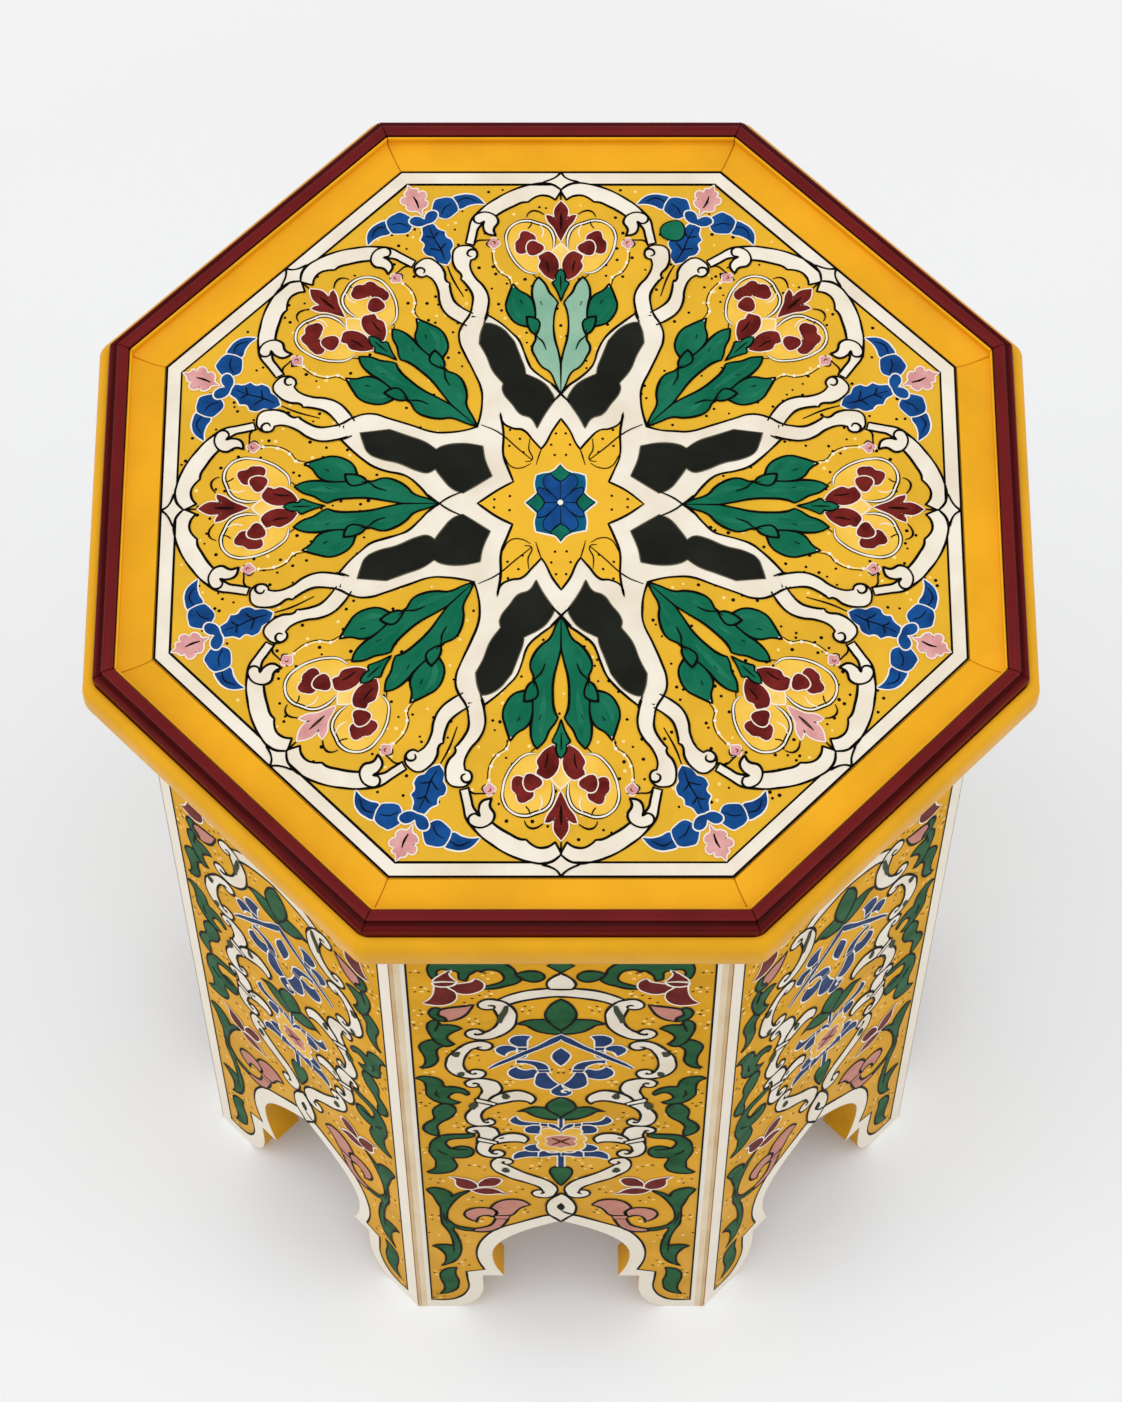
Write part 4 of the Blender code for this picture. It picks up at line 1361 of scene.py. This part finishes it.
BLUE_COLLARS = (
    "-22.8,407! -18,407! -18.6,403.4! -22.2,403.4!",
    "-13.2,376! -7.4,376.4! -7.2,373.6! -12,373.2!",
    "-11.8,300.2! -11.8,297.2! -8.2,295.4! -8.6,299.4!",
)
BLUE_DROP = "0,405.6! -2.8,401.2 -4.4,396 -4.2,391.6 -2.6,386.6 0,381.6!"
BLUE_KNOT = """0,357! -2.2,353.6 -4.2,349.8 -4.8,346.4 -4,343 -1.4,340.6 2,340.4 4.6,342.4 5.2,346
    3.8,349 1.6,350 0.6,352.6"""
KNOT_CURL = "4.6,347 2.6,349.2 0.8,348 1.2,345.6 3,345.2"
CHEVRON = "0,421.4! -10.6,407.6 -19,398.8 -24,392.8 -31.5,384.8 -36.4,378.4"
CHEVRON_WIDTHS = (3.5, 3.5, 3.4, 2.6, 1.2)
CHEVRON_RIM = 2.0  # how much wider the pale line under it is
STALKS = (("0,257 0,245 0,234.5", 3.0), ("0,306 0,298 0,288", 1.8))  # each with its width
STALK_RIM = 1.8
FLOWER_PETALS = """0,284.6! -2,288.8 -5,292.2 -9,291.6 -10.8,288 -9.8,284! -12.2,281.4 -12.8,276.4
    -11.4,272.4! -12.6,267.6 -11,263 -7.4,259.8 -3.8,260 0,257.6!"""
FLOWER_HEART = "0,282.6 -3,281.8 -6,280.8 -8.2,277.4 -6.6,274.2! -7.8,270 -5.4,266.4 -2.8,266.2 0,263.8"
FLOWER_CROSS = ("-4.6,278.6 0,273.8 4.6,269", "-4.6,269 0,273.8 4.6,278.6")
CROSS_WIDTHS = (1.2, 2.0, 1.2)

# Red and pink flowers of the left half
RED_SHAPES = (
    """-54,506.5! -57,503 -59.5,499 -61.3,495.5 -62,493.2! -57,493.6 -51.3,492.4! -53,495.6 -54.3,499
    -54.6,503""",
    """-61.8,487! -62.2,480 -63,474 -64.8,469.5 -67.6,466! -65,464.2 -60,463 -55.5,465 -52.4,470
    -51.4,475.5 -52.6,480 -55,484 -56.8,486.8! -59,486.4""",
    "-62,491.4! -57,492 -51.5,491.8! -54,488.6 -58,487.5 -61.8,488.8!",
    """-56,486.5! -53,488.5 -48,490.2 -44,492 -42,496! -39.3,493 -38.3,488 -39,483.5 -42,479.5
    -47,477.3 -51,478.8 -54.5,482.5""",
    "-60,218.5! -55.5,217 -50,213.5 -46.5,208 -46,203 -48.5,199.5! -53,200.5 -56.5,205 -57.2,210 -57.5,215",
    "-45,204! -45.2,208.5 -43.5,213 -40.5,216.8 -36,217.3 -33.4,214.5 -34.2,209.5 -37,205.3 -41,204.8",
    "-49,198! -45,200.5 -40,201 -36,198.5 -32.5,194 -30.6,192! -35,192.6 -40,191.3 -44.5,192.5 -47.5,195.5",
)
PINK_SHAPES = (
    """-43.5,463! -48,461 -54,459.5 -59,457 -61.5,453 -61,448.5 -59,444 -56,441.5! -52,443.5 -48,448.5
    -45.5,455""",
    """-37,157! -35.6,162.6 -38.1,167.3 -39.3,169.8! -37.9,175 -34.6,180 -29.5,182.8 -23.4,182
    -20,178.8 -18.1,174! -21.6,170.8 -24.6,165.5 -26.9,159.6 -28.7,157!""",
    """-37,151.4! -29.9,151! -32.2,143.2 -35.2,135 -39.9,130.8 -45.2,129.6 -49.3,130.8! -48.7,135!
    -44,136.7 -39.9,140.8 -37.8,146.1""",
    """-37,157! -36.4,163.2 -39.9,168.5 -44.6,169.6 -49.9,167.3 -53.2,162 -53.2,155.5 -50.5,149.6
    -47.3,147! -46.6,151.4 -44.6,155.9 -41,156.7 -38.1,154.4!""",
)
PINK_COLLAR = "-37.6,156.8! -28.6,156.8! -29.8,151.2! -37,151.8!"

# Middles of the sprinkled clusters of the left half
SPRINKLES = """-68,482 -36,476 -71,437 -43,441 -17,456 -45,466 -43,392 -67,374 -70,327 -28,292 -47,233
    -14,235 -67,213 -24,197 -47,181 -20,164 -71,126 -53,118 -55,76 -71,19 -26,357 -56,398 -31,310
    -12,215 -36,499 -70,502 -28,265 -57,314 -53,295 -46,149 -31,402 -3,376 -22,382 -70,452 -14,476
    -73,345 -72,258 -70,60 -70,155 -38,232 -9,247"""

# Each cluster: its spots, their reach from the middle, its stretch upwards and the share that is left out
CLUSTER_SPOTS = 6
CLUSTER_REACH = (1.6, 4.0)
CLUSTER_STRETCH = 1.4
CLUSTER_GAPS = 0.22
DARK_RADII = (0.6, 1.0)
GLINT_RADII = (0.7, 1.15)


def panel_knots(text):
    """Points read on the left half of the front panel, with the painter's own axis brought to the middle."""
    found = []
    for x, y, corner in knots(text):
        shift = READ_AXIS * max(0.0, 1 - abs(x) / EDGE_LINE) if x else 0.0
        found.append((x + shift, y, corner))
    return found


def paint_panel_borders(work, places):
    """White strips at the arris, along the arch and under the top, with the line inside them. On every other
    panel the strips beside the arris get painted shade, darkest at the arris.
    """
    foot = knots(FOOT_LINE)
    inner = [*foot, (-EDGE_LINE, TOP_BORDER, True), (0.0, TOP_BORDER, True)]
    edge = STRIP_MARGIN - PANEL_HALF
    top = PANEL_TOP - STRIP_MARGIN
    outer = [(0.0, top, True), (edge, top, True), (edge, STRIP_MARGIN, True)]
    *sawn, (_, point, _) = arch_edge()
    arch = [(x - ARCH_MARGIN, max(y, STRIP_MARGIN), True) for x, y, _ in sawn]
    half = inner + outer + arch + [(0.0, point + STRIP_MARGIN, True)]
    halves = both(places)
    work.fill("strip", [half], halves, layer=1)
    work.line("line", inner, halves, layer=2)
    # Painted shade on every other panel: beige over the strip and darker at the arris
    for layer, (colour, reach) in enumerate(SHADED_STRIPS):
        shade_band = [(edge, STRIP_MARGIN), (edge, top), (-reach, top), (-reach, STRIP_MARGIN)]
        work.fill(colour, [[(x, y, True) for x, y in shade_band]], both(places[::2]), layer=2 + layer)


def paint_panel_scrolls(work, places):
    halves = both(places)
    work.shape("white", "line", whole(knots(WHITE_ARCH)), places, layer=2)
    work.shape("white", "line", whole(knots(WHITE_DROP)), places, layer=4)
    for index, text in enumerate(SCROLLS):
        work.shape("white", "line", panel_knots(text), halves, layer=4 + 2 * (index % 2))
    for text in SCROLL_CURLS:
        work.line("line", panel_knots(text), halves, layer=8, width=1.1)
    for text in SCROLL_LEAVES:
        work.shape("white", "line", panel_knots(text), halves, layer=8)
    for text in SCROLL_COLLARS:
        work.shape("white", "line", panel_knots(text), halves, layer=10, width=0.8)
    for text in SCROLL_STAINS:
        work.line("stain", panel_knots(text), halves, layer=12, width=3.0)
    work.shape("white", "line", whole(knots(TEARDROP)), places, layer=8)
    work.fill("line", [knots(TEARDROP_EYE)], places, layer=10)
    work.line("line", knots(TEARDROP_CREASE), places, layer=10)


def paint_panel_leaves(work, places):
    halves = both(places)
    for index, text in enumerate(PANEL_LEAVES):
        work.shape("green", "line", panel_knots(text), halves, layer=2 + 2 * (index % 2))
    work.shape("green", "line", panel_knots(CALYX), halves, layer=6)
    for text in PANEL_LEAF_VEINS:
        work.line("line", panel_knots(text), halves, layer=6, width=0.9)
    for middle, side in LEAF_TRIOS:
        work.shape("green", "line", knots(side), halves, layer=2)
        work.shape("green", "line", whole(knots(middle)), places, layer=4)
    work.shape("green", "line", whole(knots(GREEN_HEART)), places, layer=2)
    middle, side = LEAF_TRIOS[0]
    work.shape("green", "line", moved(knots(side), 0, HIDDEN_TRIO_RISE), halves, layer=2)
    work.shape("green", "line", moved(whole(knots(middle)), 0, HIDDEN_TRIO_RISE), places, layer=4)
    work.shape("green", "line", knots(TOP_BUD), places, layer=2)


def paint_panel_flowers(work, places):
    halves = both(places)
    arm = knots(CHEVRON)
    mitred = CHEVRON_WIDTHS[0] / math.sin(math.atan2(-arm[1][0], arm[0][1] - arm[1][1]))
    chevron = flipped(arm[1:]) + arm
    widths = [*reversed(CHEVRON_WIDTHS), mitred, *CHEVRON_WIDTHS]
    for colour, layer, rim in (("pale_line", 6, CHEVRON_RIM), ("blue", 8, 0.0)):
        work.line(colour, chevron, places, layer=layer, widths=[width + rim for width in widths])
    for index, text in enumerate(BLUE_SHAPES):
        work.shape("blue", "pale_line", panel_knots(text), halves, layer=2 + 2 * (index % 3))
    for text in BLUE_COLLARS:
        work.shape("blue", "pale_line", panel_knots(text), halves, layer=8, width=0.7)
    work.shape("blue", "pale_line", knots(BLUE_KNOT), places, layer=10, width=0.8)
    work.line("pale_line", knots(KNOT_CURL), places, layer=12, width=0.9)
    work.shape("blue", "pale_line", whole(knots(BLUE_DROP)), places, layer=2)
    for text, width in STALKS:
        stalk = knots(text)
        work.line("pale_line", stalk, places, layer=4, widths=[width + STALK_RIM] * len(stalk))
        work.line("blue", stalk, places, layer=6, widths=[width] * len(stalk))
    for index, text in enumerate(RED_SHAPES):
        work.shape("red", "pale_line", panel_knots(text), halves, layer=5 + 2 * (index % 3))
    for index, text in enumerate(PINK_SHAPES):
        work.shape("pink", "line", panel_knots(text), halves, layer=2 + 2 * (index % 2))
    work.shape("pink", "line", panel_knots(PINK_COLLAR), halves, layer=6, width=0.7)
    work.shape("cream", "pale_line", whole(knots(FLOWER_PETALS)), places, layer=8)
    work.shape("pink", "pale_line", whole(knots(FLOWER_HEART)), places, layer=10, width=0.7)
    for index, text in enumerate(FLOWER_CROSS):
        work.line("red", knots(text), places, layer=12 + index, widths=CROSS_WIDTHS)


def sprinkle_panels(work, places):
    """Clusters of dark dots and pale glints on the ground."""
    dots = []
    glints = []
    for x, y, _ in knots(SPRINKLES):
        start = work.hand.uniform(0, math.pi)
        for step in range(CLUSTER_SPOTS):
            angle = start + step * 2 * math.pi / CLUSTER_SPOTS
            reach = work.hand.uniform(*CLUSTER_REACH)
            spot = (x + reach * math.cos(angle), y + CLUSTER_STRETCH * reach * math.sin(angle))
            if work.hand.random() < CLUSTER_GAPS:
                continue
            if step % 2:
                dots.append((*spot, work.hand.uniform(*DARK_RADII)))
            else:
                glints.append((*spot, work.hand.uniform(*GLINT_RADII)))
    halves = both(places)
    work.strew("dot", dots, halves)
    work.strew("fleck", glints, halves)


class NIGHTSTAND_OT_paint_panels(bpy.types.Operator):
    """Paint the borders, scrolls, leaves and flowers of the eight side panels"""

    bl_idname = "nightstand.paint_panels"
    bl_label = "Painted panels"

    def execute(self, context):
        colours = context.scene.nightstand_colours
        paint = context.scene.nightstand_paint
        work = Paintwork(paint.step, paint.panel_line, 3, seed=23, pale=PALE_EDGE, stress=LEVEL_STRESS)
        places = [on_panel(index) for index in range(len(SIDES))]
        paint_panel_borders(work, places)
        paint_panel_scrolls(work, places)
        paint_panel_leaves(work, places)
        paint_panel_flowers(work, places)
        sprinkle_panels(work, places)
        work.finish("panel", settle_panels, panel_finishes(colours))
        return {"FINISHED"}


def panel_finishes(colours):
    def matt(name, first, second, blotch, rough):
        return enamel(f"panel_{name}", first, second, blotch=blotch, rough=rough, sheen=PANEL_SHEEN)

    return {
        "strip": matt("strip", colours.white, linear(240, 231, 215), blotch=30.0, rough=0.42),
        # Beige and darker beige: painted shade on the strips beside the arris
        "shaded_strip": matt("shaded_strip", linear(236, 219, 190), linear(228, 207, 172), blotch=24.0, rough=0.42),
        "shaded_arris": matt(
            "shaded_arris", linear(219, 192, 152), linear(206, 174, 130), blotch=24.0, rough=0.42
        ),
        "white": matt("white", colours.white, linear(234, 221, 200), blotch=40.0, rough=0.42),
        "green": matt("green", colours.panel_green, linear(20, 76, 40), blotch=60.0, rough=0.4),
        "blue": matt("blue", colours.panel_blue, linear(14, 42, 84), blotch=90.0, rough=0.38),
        "red": matt("red", linear(114, 26, 16), linear(90, 16, 10), blotch=90.0, rough=0.38),
        "pink": matt("pink", colours.panel_pink, linear(190, 126, 110), blotch=90.0, rough=0.4),
        "cream": matt("cream", linear(242, 190, 76), linear(232, 176, 58), blotch=90.0, rough=0.4),
        "line": drawn_line("panel_line", colours.line, rough=0.45),
        "dot": drawn_line("panel_dot", colours.line, rough=0.45),
        "stain": drawn_line("panel_stain", linear(58, 66, 44), rough=0.45),
        "pale_line": drawn_line("panel_pale_line", colours.white, rough=0.45),
        "fleck": drawn_line("panel_fleck", linear(250, 226, 160), rough=0.45),
    }


# The studio

# Soft lights: name, strength and where they stand
STUDIO_LIGHTS = (
    ("soft_front", 0.58, (0.0, -1.0, 3.3)),
    ("soft_left", 0.78, (-3.0, -0.3, 1.6)),
    ("soft_right", 0.58, (3.0, -0.3, 1.6)),
)
LIGHT_TARGET = (0, 0, 0.3)
LIGHT_SPREAD = math.radians(60)
SKY_STRENGTH = 0.70

# The camera, as it was fitted to the photo
CAMERA_PLACE = (0, -1.0313, 2.4899)
CAMERA_TILT = math.radians(26.174)
CAMERA_LENS = 114.35
CAMERA_SENSOR = 36

# The floor: half its width, where its near tone ends and its far tone begins, and its roughness
FLOOR_HALF = 8
FLOOR_REACH = (0.28, 0.70)
FLOOR_ROUGHNESS = 0.9

# Its tones: what it throws back on the piece, and what the camera sees near the piece and far off.
# Near the piece it is lighter and bluer: painted light that lifts the shadow and the warm bounce there.
FLOOR_BOUNCE = (0.68, 0.68, 0.68)
FLOOR_NEAR_PAINTED_LIGHT = (0.93, 0.965, 1.0)
FLOOR_FAR = (0.867, 0.875, 0.884)


class NIGHTSTAND_OT_stage(bpy.types.Operator):
    """Set the pale floor, the soft light and the camera"""

    bl_idname = "nightstand.stage"
    bl_label = "Stage"

    def execute(self, context):
        scene = context.scene
        scene.view_settings.view_transform = "Standard"
        self.add_floor()
        self.add_light(scene)
        self.add_camera(scene)
        return {"FINISHED"}

    def add_floor(self):
        work = bmesh.new()
        bmesh.ops.create_grid(work, x_segments=1, y_segments=1, size=FLOOR_HALF)
        material, tree, shader = new_material("pale_floor")
        rays = tree.nodes.new("ShaderNodeLightPath").outputs
        seen = rays["Is Camera Ray"]
        for kind in ("Is Glossy Ray", "Is Transmission Ray"):
            either = add_node(tree, "ShaderNodeMath", operation="MAXIMUM")
            tree.links.new(seen, either.inputs[0])
            tree.links.new(rays[kind], either.inputs[1])
            seen = either.outputs["Value"]
        reach = add_node(tree, "ShaderNodeVectorMath", operation="LENGTH")
        tree.links.new(object_place(tree), reach.inputs[0])
        away = add_range(tree, reach.outputs["Value"], *FLOOR_REACH, 0.0, 1.0)
        # Painted light: the floor is lighter and bluer round the piece than far off
        pale = add_mix(tree, away, FLOOR_NEAR_PAINTED_LIGHT, FLOOR_FAR)
        tone = add_mix(tree, seen, FLOOR_BOUNCE, pale)
        tree.links.new(tone, shader.inputs["Base Color"])
        shader.inputs["Roughness"].default_value = FLOOR_ROUGHNESS
        floor = new_piece("studio_floor", work, material)

    def add_light(self, scene):
        world = bpy.data.worlds.new("studio")
        world.use_nodes = True
        background = world.node_tree.nodes["Background"]
        background.inputs["Color"].default_value = (1, 1, 1, 1)
        background.inputs["Strength"].default_value = SKY_STRENGTH
        scene.world = world
        for name, energy, place in STUDIO_LIGHTS:
            lamp = bpy.data.lights.new(name, "SUN")
            lamp.energy = energy
            lamp.angle = LIGHT_SPREAD
            light = bpy.data.objects.new(name, lamp)
            light.location = place
            aim = Vector(LIGHT_TARGET) - light.location
            light.rotation_euler = aim.to_track_quat("-Z", "Y").to_euler()
            scene.collection.objects.link(light)

    def add_camera(self, scene):
        camera = bpy.data.cameras.new("camera")
        camera.lens = CAMERA_LENS
        camera.sensor_width = CAMERA_SENSOR
        view = bpy.data.objects.new("camera", camera)
        view.location = CAMERA_PLACE
        view.rotation_euler = (CAMERA_TILT, 0, 0)
        scene.collection.objects.link(view)
        scene.camera = view


class NIGHTSTAND_PT_finish(bpy.types.Panel):
    """Lists the steps of the finish"""

    bl_idname = "NIGHTSTAND_PT_finish"
    bl_label = "Painted Nightstand"
    bl_space_type = "VIEW_3D"
    bl_region_type = "UI"
    bl_category = "Nightstand"

    def draw(self, context):
        for operator in OPERATORS:
            self.layout.operator(operator.bl_idname)
        for group in (context.scene.nightstand_paint, context.scene.nightstand_colours):
            for name in group.__annotations__:
                self.layout.prop(group, name)


OPERATORS = (
    NIGHTSTAND_OT_mouldings,
    NIGHTSTAND_OT_boards,
    NIGHTSTAND_OT_inside,
    NIGHTSTAND_OT_paint_top,
    NIGHTSTAND_OT_paint_panels,
    NIGHTSTAND_OT_stage,
)
CLASSES = (NightstandColours, NightstandPaint, *OPERATORS, NIGHTSTAND_PT_finish)


def register():
    for item in CLASSES:
        bpy.utils.register_class(item)
    bpy.types.Scene.nightstand_colours = PointerProperty(type=NightstandColours)
    bpy.types.Scene.nightstand_paint = PointerProperty(type=NightstandPaint)


def unregister():
    del bpy.types.Scene.nightstand_paint
    del bpy.types.Scene.nightstand_colours
    for item in reversed(CLASSES):
        bpy.utils.unregister_class(item)


def main():
    register()
    bpy.ops.nightstand.mouldings()
    bpy.ops.nightstand.boards()
    bpy.ops.nightstand.inside()
    bpy.ops.nightstand.paint_top()
    bpy.ops.nightstand.paint_panels()
    bpy.ops.nightstand.stage()


if __name__ == "__main__":
    main()
